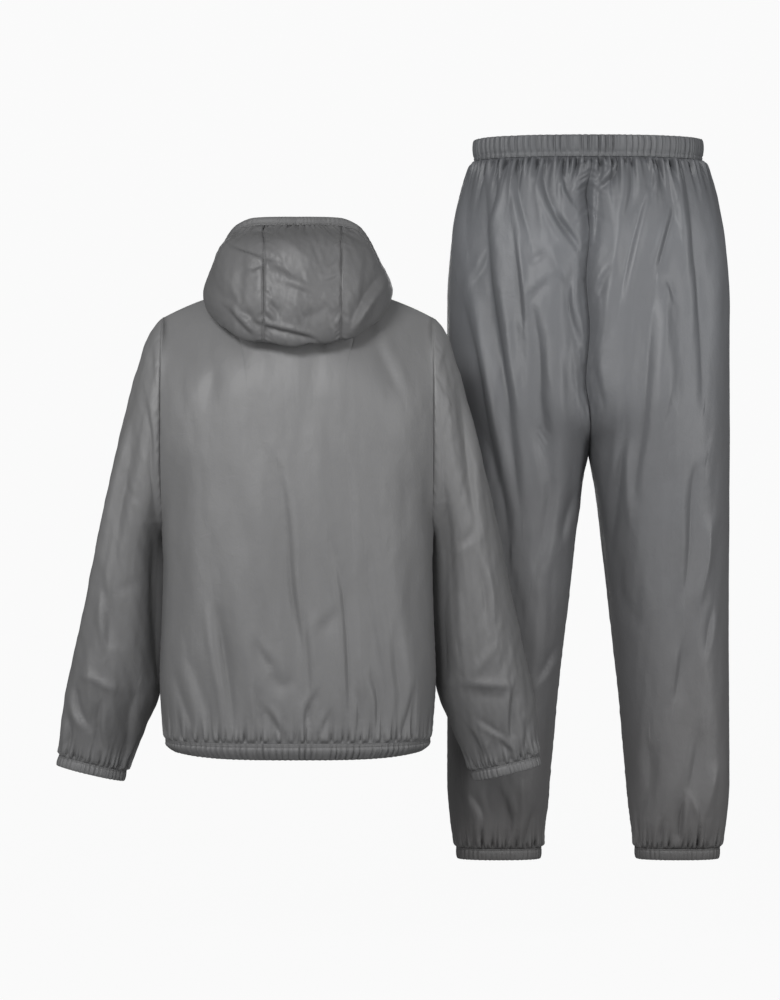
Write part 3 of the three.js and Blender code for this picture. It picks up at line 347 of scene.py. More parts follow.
def read(table, column, at):
    """One column of a table at any place along its first column, smooth and without overshoot."""
    key = np.array(next(iter(table.values())), float)
    value = np.array(table[column], float)
    rise = np.diff(value) / np.diff(key)
    before, after = rise[:-1], rise[1:]
    same_way = before * after > 0
    slope = np.empty(len(key))
    slope[0], slope[-1] = rise[0], rise[-1]
    slope[1:-1] = np.where(same_way, 2 * before * after / np.where(same_way, before + after, 1), 0)
    place = np.clip(at, key[0], key[-1])
    i = np.clip(np.searchsorted(key, place) - 1, 0, len(key) - 2)
    span = key[i + 1] - key[i]
    t = (place - key[i]) / span
    s = 1 - t
    start = value[i] * s * s * (1 + 2 * t) + slope[i] * span * t * s * s
    return start + value[i + 1] * t * t * (1 + 2 * s) - slope[i + 1] * span * t * t * s


def rounded_depth(sine, fullness):
    """The depth of a rounded-square section, from 1 at its middle to 0 at its side."""
    return np.maximum(0, 1 - np.abs(sine) ** fullness) ** (1 / fullness)


def rounded_line(path, count=24):
    """Points along a smooth line through a few given ones."""
    path = np.array(path, float)
    ends = np.vstack([2 * path[0] - path[1], path, 2 * path[-1] - path[-2]])
    spans = len(path) - 1
    at = np.linspace(0, spans, count)
    i = np.minimum(at.astype(int), spans - 1)
    t = (at - i)[:, None]
    a, b, c, d = (ends[i + k] for k in range(4))
    square, cube = 2 * a - 5 * b + 4 * c - d, 3 * b - a - 3 * c + d
    return 0.5 * (2 * b + (c - a) * t + square * t**2 + cube * t**3)


def distance_to_line(x, z, line):
    """For each place: its distance to a line (above 0 on the line's right), and how far along it is."""
    best = np.full(x.shape, 1e9)
    side = np.ones(x.shape)
    share = np.zeros(x.shape)
    lengths = np.concatenate([[0], np.cumsum(np.linalg.norm(np.diff(line, axis=0), axis=1))])
    for k in range(len(line) - 1):
        (ax, az), (bx, bz) = line[k], line[k + 1]
        dx, dz = bx - ax, bz - az
        t = np.clip(((x - ax) * dx + (z - az) * dz) / (dx * dx + dz * dz), 0, 1)
        far = np.hypot(x - ax - t * dx, z - az - t * dz)
        nearer = far < best
        best = np.where(nearer, far, best)
        side = np.where(nearer, np.sign((z - az) * dx - (x - ax) * dz), side)
        share = np.where(nearer, (lengths[k] + t * (lengths[k + 1] - lengths[k])) / lengths[-1], share)
    return best * -side * np.sign(line[0, 1] - line[-1, 1] + 1e-6), share


# How much deeper and wider every crease is than its row says, and how round its valley is
FOLD_DEPTH = 1.3
FOLD_WIDTH = 0.95
CREASE_ROUNDING = 0.35
# How far a crease's valley reaches towards its lip, away from it, and without a lip
TOWARDS_LIP, AWAY_FROM_LIP, NO_LIP = 0.65, 1.6, 1.2


def crease_lift(creases, x, z, face_y):
    """How far a list of creases lifts the cloth at (x, z), for cloth whose face is at a depth."""
    lift = np.zeros(x.shape)
    for width, depth, lip_side, *path in creases:
        far, share = distance_to_line(x, z, rounded_line(seen_at(path, face_y)))
        across = far / (FOLD_WIDTH * width)
        taper = np.sin(math.pi * np.clip(share, 0.02, 0.98)) ** 0.6
        towards_lip = across * lip_side
        reach = np.where(towards_lip > 0, TOWARDS_LIP, AWAY_FROM_LIP) if lip_side else NO_LIP
        valley = np.exp(-1.25 * (np.hypot(across / reach, CREASE_ROUNDING) - CREASE_ROUNDING))
        lip = 0.5 * np.exp(-(((towards_lip - 1.3) / 1.1) ** 2)) * abs(lip_side)
        lift += FOLD_DEPTH * depth * taper * (lip - valley)
    return lift


def facets(wave):
    """A wave with flat sides and sharp turns, as a crisp cloth folds."""
    return np.arcsin(0.985 * np.sin(wave)) / 1.3


def swell(x, z, seed, size, stretch=2.6):
    """Low unevenness in the cloth, longer downwards than across, between about -1 and 1."""
    draw = np.random.default_rng(seed)
    total = np.zeros(x.shape)
    for _ in range(7):
        turn = draw.uniform(-0.5, 0.5)
        wave = size * draw.uniform(0.6, 1.7)
        along = (x * math.cos(turn) + z * math.sin(turn) / stretch) / wave
        across = (z * math.cos(turn) / stretch - x * math.sin(turn)) / wave
        bend = 0.7 * np.sin(2 * math.pi * across / 1.6 + draw.uniform(0, 6.3))
        total += draw.uniform(0.5, 1) * facets(2 * math.pi * along + bend + draw.uniform(0, 6.3))
    return total / 2.6


def ripple(turn, count, seed):
    """An uneven wave that repeats after one turn, with about count crests in it."""
    draw = np.random.default_rng(seed)
    total = 0
    for share, weight in ((0.71, 0.35), (0.86, 0.6), (1, 1), (1.13, 0.6), (1.31, 0.35)):
        crests = max(1, round(count * share))
        total = total + weight * np.sin(2 * math.pi * (crests * turn + draw.uniform()))
    return total / 1.7


def pinched(wave):
    """A wave with broad crests and narrow valleys, as cloth gathered on a thread has."""
    return np.tanh(1.8 * (wave + 0.45)) - 0.35


# The folds that run out of a band, from close to broad: share of its gathers, height, and reach
GATHER_FOLDS = ((1, 5.6, 12), (0.5, 4.8, 22), (0.22, 1.3, 44))
# How many gathers each band has
GATHERS = {"hem": 118, "waist": 90, "cuff": 40, "ankle": 46, "hood": 90}


def gather_lift(turn, height, count, seed, rise=1.0, reach=1.0):
    """The folds that run out of an elastic band: close ones next to it, broad ones further away."""
    lift = 0.0
    for spread, high, far in GATHER_FOLDS:
        uneven = np.maximum(0.35, 0.9 + 0.5 * ripple(turn, count * spread * 0.3, seed + 3))
        fall = np.exp(-((np.maximum(height, 0) / (far * reach * uneven)) ** 1.3))
        lift = lift + rise * high * fall * pinched(ripple(turn, count * spread, seed + int(100 * spread)))
    return lift


def normals(points, turn, ring=False):
    """Outward directions of a grid of points."""
    if ring:
        across = np.roll(points, -1, 1) - np.roll(points, 1, 1)
    else:
        across = np.gradient(points, axis=1)
    out = np.cross(across, np.gradient(points, axis=0)) * turn
    return out / np.maximum(np.linalg.norm(out, axis=2, keepdims=True), 1e-9)


def raised(points, turn, rise, ring=False):
    """A grid of points, moved out along its normals."""
    return points + normals(points, turn, ring) * rise


def closed(line):
    """A line with its first place once more at its end."""
    return np.vstack([line, line[:1]])


def from_row(points, row):
    """How far each place of a grid is from the place of its column on one row."""
    return np.linalg.norm(points - points[row], axis=2)


# Materials


class Socket:
    """A shader value: an expression on it adds the Math nodes that work it out."""

    def __init__(self, tree, socket):
        self.tree = tree
        self.socket = socket

    def math(self, operation, other):
        return self.tree.node("ShaderNodeMath", {"operation": operation}, {0: self, 1: other})

    def __add__(self, other):
        return self.math("ADD", other)

    def __sub__(self, other):
        return self.math("SUBTRACT", other)

    def __mul__(self, other):
        return self.math("MULTIPLY", other)


class Tree:
    """A tree of shader or geometry nodes."""

    def __init__(self, tree):
        self.tree = tree

    def node(self, kind, settings=None, inputs=None, output=0):
        """Adds a node with its settings and inputs, and gives one of its outputs."""
        node = self.tree.nodes.new(kind)
        for key, value in (settings or {}).items():
            setattr(node, key, value)
        for key, value in (inputs or {}).items():
            if isinstance(value, Socket):
                self.tree.links.new(value.socket, node.inputs[key])
            else:
                node.inputs[key].default_value = value
        return Socket(self, node.outputs[output])

    def end(self, kind, result):
        """Leads a result into the tree's last node."""
        self.tree.links.new(result.socket, self.tree.nodes.new(kind).inputs[0])


class Finish(Tree):
    """A material that is put together from shader nodes."""

    def __init__(self, name):
        self.material = bpy.data.materials.new(name)
        self.material.use_nodes = True
        super().__init__(self.material.node_tree)
        self.tree.nodes.clear()

    def surface(self, inputs):
        self.end("ShaderNodeOutputMaterial", self.node("ShaderNodeBsdfPrincipled", None, inputs))
        return self.material


def mix_colours(finish, factor, first, second):
    """A colour between two, by a factor."""
    first, second = (end if isinstance(end, Socket) else (*end, 1) for end in (first, second))
    return finish.node("ShaderNodeMix", {"data_type": "RGBA"}, {0: factor, 6: first, 7: second}, output=2)


def ramp(finish, value, span, top):
    """0 up to the start of a span of values, and rising evenly to top at its end."""
    return finish.node("ShaderNodeMapRange", None, {0: value, 1: span[0], 2: span[1], 3: 0.0, 4: top})


def noise(finish, place, scale, detail, output=0, **more):
    """A noise: its value, or its colour at output 1."""
    inputs = {"Vector": place, "Scale": scale, "Detail": detail, **more}
    return finish.node("ShaderNodeTexNoise", None, inputs, output)


def threads(finish, weave_map, direction):
    """The ridges of the threads that run one way."""
    bands = {"wave_type": "BANDS", "bands_direction": direction}
    return finish.node("ShaderNodeTexWave", bands, {"Vector": weave_map, "Scale": THREADS}, 1)


# The scale of the weave, and how strongly and how deeply crinkles and weave turn the light
THREADS = 420.0
RELIEF = {"Strength": 0.36, "Distance": 0.0016}
# How high the crinkles, the small flat facets and the threads stand, beside each other
CRINKLE_HEIGHT, FACET_HEIGHT, THREAD_HEIGHT = 0.9, 1.1, 0.035


def nylon(name, upper, lower, z_range, roughness, gather_shade_span=None):
    """Smooth woven nylon: a fine weave, small crinkles, random patches of tone, and painted shade that
    grows down the garment. The last argument is where painted shade on cloth gathered under a band starts,
    and where it is darkest."""
    finish = Finish(name)
    place = finish.node("ShaderNodeTexCoord", output=3)
    height = finish.node("ShaderNodeSeparateXYZ", None, {0: place}, output=2)
    patch = noise(finish, place, 9.0, 3.0)
    # Painted shade: the colour darkens from the top of the span to its bottom, as light from above falls;
    # the patch adds uneven tone
    painted_shade_and_tone = ramp(finish, height, z_range, 1.0) + (patch - 0.5) * 0.35
    colour = mix_colours(finish, painted_shade_and_tone, lower, upper)
    # Painted shade in the gathers under a band: the colour darkens towards the band
    if gather_shade_span:
        gather_shade_colour = [0.4 * value for value in upper]
        colour = mix_colours(finish, ramp(finish, height, gather_shade_span, 0.5), colour, gather_shade_colour)
    crinkle = noise(finish, place, 62.0, 5.0, Roughness=0.62, Distortion=0.6)
    bent = noise(finish, place, 14.0, 2.0, output=1)
    wander = finish.node("ShaderNodeVectorMath", {"operation": "SCALE"}, {0: bent, 3: 0.05})
    moved = finish.node("ShaderNodeVectorMath", {"operation": "ADD"}, {0: place, 1: wander})
    lengthened = {0: moved, 1: (1.0, 1.0, 0.45)}
    drawn_out = finish.node("ShaderNodeVectorMath", {"operation": "MULTIPLY"}, lengthened)
    facet = finish.node("ShaderNodeTexVoronoi", {"feature": "F1"}, {"Vector": drawn_out, "Scale": 34.0})
    weave_map = finish.node("ShaderNodeUVMap", {"uv_map": "weave"})
    weave = threads(finish, weave_map, "X") + threads(finish, weave_map, "Y")
    relief = crinkle * CRINKLE_HEIGHT + facet * FACET_HEIGHT + weave * THREAD_HEIGHT
    bump = finish.node("ShaderNodeBump", None, {**RELIEF, "Height": relief})
    gloss = (patch - 0.5) * 0.16 + roughness
    look = {"Base Color": colour, "Roughness": gloss, "Normal": bump, "Specular IOR Level": 0.5}
    return finish.surface(look)


def plain(name, colour, roughness, metallic=0.0):
    """One even finish, such as thread or metal, with a faint unevenness in its gloss."""
    finish = Finish(name)
    patch = noise(finish, finish.node("ShaderNodeTexCoord", output=3), 240.0, 2.0)
    gloss = patch * 0.2 + (roughness - 0.1)
    return finish.surface({"Base Color": (*colour, 1), "Roughness": gloss, "Metallic": metallic})


# Heights over which each garment's painted shade darkens downwards, and the painted shade under the
# waistband
JACKET_SPAN, HOOD_SPAN, TROUSER_SPAN, UNDER_WAIST_SHADE = (-0.62, 0.0), (-0.08, 0.1), (-0.82, 0.1), (0.1, 0.2)
# Each nylon is painted darker lower down, as painted shade; the trousers' also turns from bluish to
# brownish
jacket_nylon = nylon("grey_nylon", (0.21, 0.21, 0.212), (0.148, 0.148, 0.15), JACKET_SPAN, 0.48)
# Painted shade: the hood's nylon is the jacket's, painted darker for the shade the hood lies in
hood_nylon = nylon("hood_nylon", (0.155, 0.155, 0.157), (0.14, 0.14, 0.142), HOOD_SPAN, 0.47)
trouser_nylon = nylon(
    "trouser_nylon", (0.172, 0.178, 0.19), (0.13, 0.127, 0.127), TROUSER_SPAN, 0.46, UNDER_WAIST_SHADE
)
# Painted shade: the bands are their garments' nylons painted darker, for the shade in their gathers
jacket_band_shaded = nylon("grey_nylon_band", (0.175, 0.175, 0.177), (0.14, 0.14, 0.142), JACKET_SPAN, 0.5)
hood_band_shaded = nylon("hood_nylon_band", (0.125, 0.125, 0.127), (0.125, 0.125, 0.127), HOOD_SPAN, 0.55)
trouser_band_shaded = nylon("trouser_nylon_band", (0.125, 0.129, 0.136), (0.1, 0.098, 0.098), TROUSER_SPAN, 0.5)
grey_thread = plain("grey_thread", (0.1, 0.1, 0.102), 0.6)
dark_tape = plain("dark_zip_tape", (0.05, 0.05, 0.052), 0.85)
brushed_metal = plain("brushed_metal", (0.42, 0.42, 0.43), 0.32, 1.0)


# Meshes


def weave_places(points, ring):
    """How far each column and row is along the cloth, in metres, for a weave that follows it."""
    looped = np.concatenate([points, points[:, :1]], axis=1) if ring else points
    across = np.linalg.norm(np.diff(looped, axis=1), axis=2).mean(0)
    down = np.linalg.norm(np.diff(points, axis=0), axis=2).mean(1)
    return np.concatenate([[0], np.cumsum(across)]) * MM, np.concatenate([[0], np.cumsum(down)]) * MM


def placed(name, data):
    """A new object of the scene."""
    thing = bpy.data.objects.new(name, data)
    bpy.context.scene.collection.objects.link(thing)
    return thing


def grid_mesh(name, points, turn, ring=False, tube=False, caps=False):
    """A mesh from a grid of points (rows, columns, xyz) in millimetres.
    ring closes it along its columns, and tube along its rows; caps closes the two ends of a tube."""
    rows, columns = points.shape[:2]
    u, v = weave_places(points, ring)
    if tube:
        v = np.append(v, v[-1] + (v[-1] - v[-2]))
    j, i = np.mgrid[: rows if tube else rows - 1, : columns if ring else columns - 1]
    corners = [(j, i), (j, i + 1), (j + 1, i + 1), (j + 1, i)]
    if turn < 0:
        corners.reverse()
    quads = np.stack([a % rows * columns + b % columns for a, b in corners], axis=-1)
    quads = quads.reshape(-1, 4).tolist()
    places = np.stack([np.stack([u[b], v[a]], axis=-1) for a, b in corners], axis=2)
    places = places.reshape(-1, 2).tolist()
    if caps:
        ends = [[j * columns for j in range(rows)], [j * columns + columns - 1 for j in range(rows)]]
        for end, flip in zip(ends, (turn > 0, turn < 0)):
            quads.append(end[::-1] if flip else end)
            places += [(0.0, 0.0)] * len(end)
    mesh = bpy.data.meshes.new(name)
    mesh.from_pydata((points.reshape(-1, 3) * MM).tolist(), [], quads)
    mesh.uv_layers.new(name="weave").data.foreach_set("uv", np.array(places, float).ravel())
    mesh.shade_smooth()
    mesh.update()
    return placed(name, mesh)


# How thick the cloth is, and how far every panel puffs out between its seams
CLOTH = 1.1
PUFF = 1.3


def dress(piece, node):
    """Puts a piece on its body, and hides the node that it stands for, if it stands for one."""
    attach(piece, "garments")
    if node:
        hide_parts(node)


def cloth_piece(name, points, turn, material, ring=False):
    """A panel: one shell of cloth, with its thickness inwards."""
    piece = grid_mesh(name + "_cloth", points, turn, ring)
    piece.data.materials.append(material)
    wall = piece.modifiers.new("cloth", "SOLIDIFY")
    wall.thickness = CLOTH * MM
    wall.offset = -1
    dress(piece, name)


def band_piece(name, points, turn, material, ring, caps=False):
    """A gathered casing: cloth folded over an elastic."""
    piece = grid_mesh(name + "_cloth", points, turn, ring, tube=True, caps=caps)
    piece.data.materials.append(material)
    dress(piece, name)


def held_down(distance, width=2.6):
    """0 on a sewn seam, rising to 1 a few millimetres away from it."""
    return 1 - np.exp(-((distance / width) ** 2))


def puckers(distance, along, seed, rise=0.6, pitch=11, reach=9):
    """The small folds that stand off a seam whose thread pulls."""
    draw = np.random.default_rng(seed)
    waves = sum(
        weight * np.sin(2 * math.pi * along / (pitch * stretch) + draw.uniform(0, 6.3))
        for stretch, weight in ((0.7, 0.5), (1, 1), (1.45, 0.8), (2.3, 0.7))
    )
    return rise * waves / 1.5 * np.exp(-((distance / reach) ** 1.4))


def section_turn(section, x, face):
    """The share of a turn round a band's section at which (x, face) lies, by the length of the cloth."""
    angles = np.linspace(-math.pi, math.pi, 2401)
    sx = section["half_width"] * np.sin(angles)
    depth = np.where(np.cos(angles) > 0, section["back"], section["front"])
    sy = depth * rounded_depth(np.sin(angles), section["fullness"])
    steps = np.hypot(np.diff(sx), np.diff(np.where(np.cos(angles) > 0, -sy, sy)))
    lengths = np.concatenate([[0], np.cumsum(steps)])
    angle = np.arcsin(np.clip(x / section["half_width"], -1, 1))
    if face == FRONT:
        angle = np.where(x >= 0, math.pi - angle, -math.pi - angle)
    return np.interp(angle, angles, lengths / lengths[-1])


# Jacket body


def armhole_depth(z, power=0.5):
    """Half the armhole's depth at a height; a power over 0.5 rounds its ends off."""
    middle = (ARMHOLE["top_z"] + ARMHOLE["bottom_z"]) / 2
    half_height = (ARMHOLE["top_z"] - ARMHOLE["bottom_z"]) / 2
    return ARMHOLE["half_depth"] * np.maximum(0, 1 - ((z - middle) / half_height) ** 2) ** power


def top_edge(x, face):
    """The neckline, then the shoulder seam: depth and height at a distance from the centre."""
    out = np.minimum(np.abs(x) / NECK["half_width"], 1)
    reach, dip = (NECK["back"], NECK["back_dip"]) if face == BACK else (NECK["front"], NECK["front_drop"])
    beyond = np.maximum(np.abs(x) - NECK["half_width"], 0)
    z = NECK["point_z"] - dip * (1 - out * out) - SHOULDER["slope"] * beyond - SHOULDER["curve"] * beyond**2
    return reach * np.sqrt(1 - out * out), z


def torso_grid(across, down, face, side):
    """across: 0 at the centre, 1 at the side or armhole; down: 0 top edge, 1 armpit level, 2 hem seam."""
    gap = ZIP_HALF_GAP if face == FRONT else 0
    top_x = gap + (ARMHOLE["x"] - gap) * np.sin(np.abs(across) * QUARTER)
    top_depth, top_z = top_edge(top_x, face)
    share = np.minimum(down, 1)
    even, bunched = share * (1 + share) / 2, (1 - np.cos(math.pi * share)) / 2
    upper = top_z + (ARMHOLE["bottom_z"] - top_z) * (even + (bunched - even) * across**4)
    lower = ARMHOLE["bottom_z"] + (HEM_SEAM_Z - ARMHOLE["bottom_z"]) * (down - 1)
    z = np.where(down <= 1, upper, lower)
    half_width = read(TORSO, "half_width", -z)
    full_depth = read(TORSO, "back" if face == BACK else "front", -z)
    eased = armhole_depth(z, ARMHOLE["ease"])
    side_depth = eased + (armhole_depth(z) - eased) * np.abs(across) ** ARMHOLE["reach"]
    sweep = QUARTER * (1 - ARMHOLE["turn_in"] * side_depth / ARMHOLE["half_depth"])
    sine = np.sin(np.abs(across) * sweep)
    at_side = rounded_depth(np.sin(sweep), TORSO_FULLNESS)
    towards_centre = (rounded_depth(sine, TORSO_FULLNESS) - at_side) / (1 - at_side)
    built = np.sin(QUARTER * np.clip((top_z - z) / SHOULDER["round_over"], 0, 1) ** SHOULDER["round_power"])
    x = (gap + (half_width - gap) * sine / np.sin(sweep)) * side * np.where(across < 0, -1, 1)
    crown = top_depth + (full_depth - top_depth) * built
    depth = side_depth * (1 - towards_centre) + towards_centre * crown
    return np.stack([x, face * depth, z], axis=2)


def crowded_end(count, power):
    """Steps from 0 to 1 that close up towards the end, where a band gathers the cloth."""
    return 1 - (1 - np.linspace(0, 1, count)) ** power


def crowded_ends(count, share):
    """Steps from 0 to 1 that close up towards both ends."""
    even = np.linspace(0, 1, count)
    return even - share * np.sin(2 * math.pi * even) / (2 * math.pi)


# The depth, from its part's middle, of the plane on which each part's creases are placed
TORSO_DEPTH, SLEEVE_DEPTH, HOOD_DEPTH, LEG_DEPTH = 122, 20, 150, 116
# The share of its height that the hem band loses at the sides
HEM_RISE = 0.35
# The cloth from the centre to a side seam
HALF_TORSO_GIRTH = 250
HEM_SECTION = {"half_width": 187.5, "back": 118, "front": 112, "fullness": TORSO_FULLNESS}


def torso_panel(name, face, side, columns, rows, creases, seed):
    """A panel of the jacket's body: the whole back, or one front."""
    start = -1 if face == BACK else 0
    below = 1 + crowded_end(rows - rows // 2, 1.6)[1:]
    across, down = np.meshgrid(
        np.linspace(start, 1, columns), np.concatenate([np.linspace(0, 1, rows // 2), below])
    )
    base = torso_grid(across, down, face, side)
    near_armpit = bell(base[..., 2] - ARMHOLE["bottom_z"], 32) * (1 - across**6)
    bridge_over(base, near_armpit[..., None], 24)
    turn = -1 if face == BACK else side
    out = normals(base, turn)
    x, z = base[..., 0], base[..., 2]
    above_hem = z - HEM_SEAM_Z
    from_side = (1 - np.abs(across)) * HALF_TORSO_GIRTH
    from_top = from_row(base, 0)
    free = smooth(from_side, 0, 34) * smooth(from_top, 0, 60)
    lift = crease_lift(creases, x, z, face * TORSO_DEPTH) * free * smooth(above_hem, -6, 22)
    lift += 1.0 * swell(x, z, seed, 62) * free * smooth(above_hem, 0, 70)
    lift += 0.25 * swell(x, z, seed + 1, 19, 1.4) * free * smooth(above_hem, 0, 40)
    hem_turn = section_turn(HEM_SECTION, x[-1], face)
    near_side = 0.3 + 0.7 * smooth(from_side, 0, 70)
    lift += gather_lift(hem_turn[None, :], above_hem, GATHERS["hem"], 5, 0.75) * near_side
    lift += puckers(from_side, -z, seed + 2, 0.5) + puckers(from_top, x, seed + 3, 0.25) + PUFF
    lift *= held_down(from_side) * held_down(from_top) * held_down(above_hem, 4)
    if face == FRONT:
        lift *= held_down(np.abs(x) - ZIP_HALF_GAP)
    points = base + out * lift[..., None]
    cloth_piece(name, points, turn, jacket_nylon)


# Gathered bands

# A casing's profile: how far along its height, how far it stands out, and how much of the gathers it
# shows. It runs down the outside, round the folded edge, and back up the inside.
CASING_PROFILE = [
    (0.0, 0.0, 0.0), (0.04, 0.4, 0.3), (0.08, -0.1, 0.4), (0.13, 0.35, 0.5), (0.18, 0.3, 0.5),
    (0.22, -0.3, 0.5), (0.28, 0.5, 0.85), (0.42, 0.9, 1.0), (0.58, 1.2, 1.1), (0.7, 1.2, 1.1),
    (0.82, 1.0, 1.05), (0.92, 0.6, 1.0), (0.98, 0.0, 0.95), (1.0, -0.8, 0.9), (0.97, -1.7, 0.85),
    (0.85, -2.2, 0.8), (0.6, -2.3, 0.8), (0.3, -2.0, 0.5), (0.05, -1.8, 0.3),
]
# A cuff's casing is lower: its seams are closer together, and it stands out less
CUFF_PROFILE = [
    (share if share > 0.3 else share * 0.7, stand * 0.8, shown) for share, stand, shown in CASING_PROFILE
]


def band_grid(place, away, columns, count, seed, rise, profile=CASING_PROFILE, open_ends=False):
    """A casing round a section. place(angle, share) is its line at a share of its height, and
    away(angle) is the way out from it."""
    angles = np.linspace(-math.pi, math.pi, columns)
    line = place(angles, np.full(columns, 0.5))
    lengths = np.concatenate([[0], np.cumsum(np.linalg.norm(np.diff(line, axis=0), axis=1))])
    even = np.linspace(0, lengths[-1], columns)
    angles = np.interp(even, lengths, angles)
    turn = even / lengths[-1]
    if not open_ends:
        angles, turn = angles[:-1], turn[:-1]
    rows = []
    for share, stand, shown in profile:
        wave = pinched(ripple(turn, count, seed)) * rise + 0.35 * rise * ripple(turn, count * 2.1, seed + 9)
        slip = 0.25 * ripple(turn, count, seed + 4) * shown
        row = place(angles, np.full(len(angles), share))
        moved = row + away(angles) * (stand + wave * shown)[:, None]
        rows.append(moved + np.array([0, 0, 1]) * slip[:, None])
    return np.array(rows)


def oval(section, angles, z):
    """Places round a rounded-square section; an angle of 0 is the centre back."""
    sine, cosine = np.sin(angles), np.cos(angles)
    depth = np.where(cosine > 0, -section["back"], section["front"])
    y = depth * rounded_depth(sine, section["fullness"])
    return np.stack([section["half_width"] * sine, y, z], axis=1)


def out_from_middle(section):
    """Directions straight out from a section's middle, by the angle round it."""
    def away(angles):
        spot = oval(section, angles, np.zeros(len(angles)))
        return spot / np.linalg.norm(spot, axis=1, keepdims=True)

    return away


def hem_band():
    """The hem's casing, from one edge of the zip round the back to the other."""
    end = math.pi - math.asin(ZIP_HALF_GAP / HEM_BAND["half_width"][2])

    def place(angles, share):
        angles = angles * end / math.pi
        sizes = ("half_width", "back", "front")
        size = {key: np.interp(share, HEM_BAND["share"], HEM_BAND[key]) for key in sizes}
        drop = 1.05 + 0.05 * np.cos(angles) - HEM_RISE * np.sin(angles) ** 4
        z = HEM_SEAM_Z - share * drop * HEM_BAND["height"]
        return oval({**size, "fullness": TORSO_FULLNESS}, angles, z)

    points = band_grid(place, out_from_middle(HEM_SECTION), 760, GATHERS["hem"], 105, 1.8, open_ends=True)
    band_piece("hem_band", points, -1, jacket_band_shaded, False, caps=True)
    return points


# Sleeves

# How far the hanging sleeve leans in against the body, and the height where it leans in most
SLEEVE_REST = 11
SLEEVE_REST_Z = -420
# How far a sleeve's last row of stitches is from its cuff
CUFF_STITCHES = 6.5


def sleeve_rib(along, side):
    """A rib's middle, the way from there to its outer edge, and its half depth."""
    x_mid_z = ((edge + "_x", "mid_y", edge + "_z") for edge in ("out", "in"))
    out, inner = (np.stack([read(SLEEVE, column, along) for column in columns], -1) for columns in x_mid_z)
    out[..., 0] *= side
    inner[..., 0] *= side
    return (out + inner) / 2, (out - inner) / 2, read(SLEEVE, "half_depth", along)


def sleeve_fold(angle, along):
    """The soft twist that the whole sleeve has, as its solid has it."""
    fade = np.sin(math.pi * np.clip(along, 0, 1)) ** 0.7
    return fade * (3 * np.sin(3 * angle + 5 * along) + 2 * np.sin(5 * angle - 9 * along + 1))


def sleeve_panel(name, side, seed):
    """A one-piece sleeve, closed along its seam."""
    columns, rows = 230, 126
    angle, along = np.meshgrid(np.linspace(0, 2 * math.pi, columns, endpoint=False), crowded_end(rows, 1.4))
    middle, half, half_depth = sleeve_rib(along, side)
    rounding = 1 + sleeve_fold(angle, along) * np.maximum(0, 0.4 + 0.6 * np.cos(angle)) / half_depth
    base = middle + half * np.cos(angle)[..., None]
    base[..., 1] += half_depth * np.sin(angle) * rounding
    turn = -side
    out = normals(base, turn, ring=True)
    from_armhole, from_cuff = from_row(base, 0), from_row(base, -1)
    free = smooth(from_armhole, 0, 30) * smooth(from_cuff, 2, 26)
    x, z = base[..., 0], base[..., 2]
    behind, before = (smooth(way * np.sin(angle), -0.1, 0.35) for way in (-1, 1))
    lift = crease_lift(SLEEVE_CREASES[side], x, z, -SLEEVE_DEPTH) * behind * free
    lift += crease_lift(SLEEVE_CREASES[-side], -x, z + 14, -SLEEVE_DEPTH) * before * free
    girth, length = angle * 75, along * 520
    lift += 1.6 * swell(girth, length, seed, 60) * free * np.cos(angle / 2) ** 2
    lift += 0.5 * swell(x, z, seed + 1, 17, 1.5) * free
    share = ring_share(base[-1])
    lift += gather_lift(share[None, :], from_cuff, GATHERS["cuff"], 300 + side) * 0.7
    lift += puckers(from_armhole, angle * 90, seed + 2, 0.7) + PUFF
    lift -= 0.7 * bell(from_cuff - CUFF_STITCHES, 1.6)
    lift *= held_down(from_armhole) * held_down(from_cuff, 3.5)
    points = base + out * lift[..., None]
    beside_body = bell(z - SLEEVE_REST_Z, 125) * np.maximum(0, -np.cos(angle)) ** 2
    points[..., 0] -= side * SLEEVE_REST * beside_body
    cloth_piece(name, points, turn, jacket_nylon, ring=True)
    return points


def ring_share(line):
    """The share of a turn at each place of a closed line, by its length."""
    steps = np.linalg.norm(np.diff(closed(line), axis=0), axis=1)
    return np.concatenate([[0], np.cumsum(steps)[:-1]]) / steps.sum()


def cuff_band(name, side):
    """The casing at a sleeve's end."""
    middle, half, half_depth = (value[0] for value in sleeve_rib(np.array([1.0]), side))
    axis = np.cross(half / np.linalg.norm(half), [0, 1, 0]) * -side

    def place(angles, share):
        squeeze = 1 + (SLEEVE_CUFF["squeeze"] - 1) * share
        down = share * SLEEVE_CUFF["height"]
        ring = half[None] * (np.cos(angles) * squeeze)[:, None]
        ring[:, 1] += np.sin(angles) * half_depth * squeeze
        return middle + axis * down[:, None] + ring

    def away(angles):
        spot = half[None] * np.cos(angles)[:, None]
        spot[:, 1] += np.sin(angles) * half_depth
        return spot / np.linalg.norm(spot, axis=1, keepdims=True)

    points = band_grid(place, away, 265, GATHERS["cuff"], 300 + side, 0.85, CUFF_PROFILE)
    band_piece(name, points, -side, jacket_band_shaded, True)
    return points


# Hood


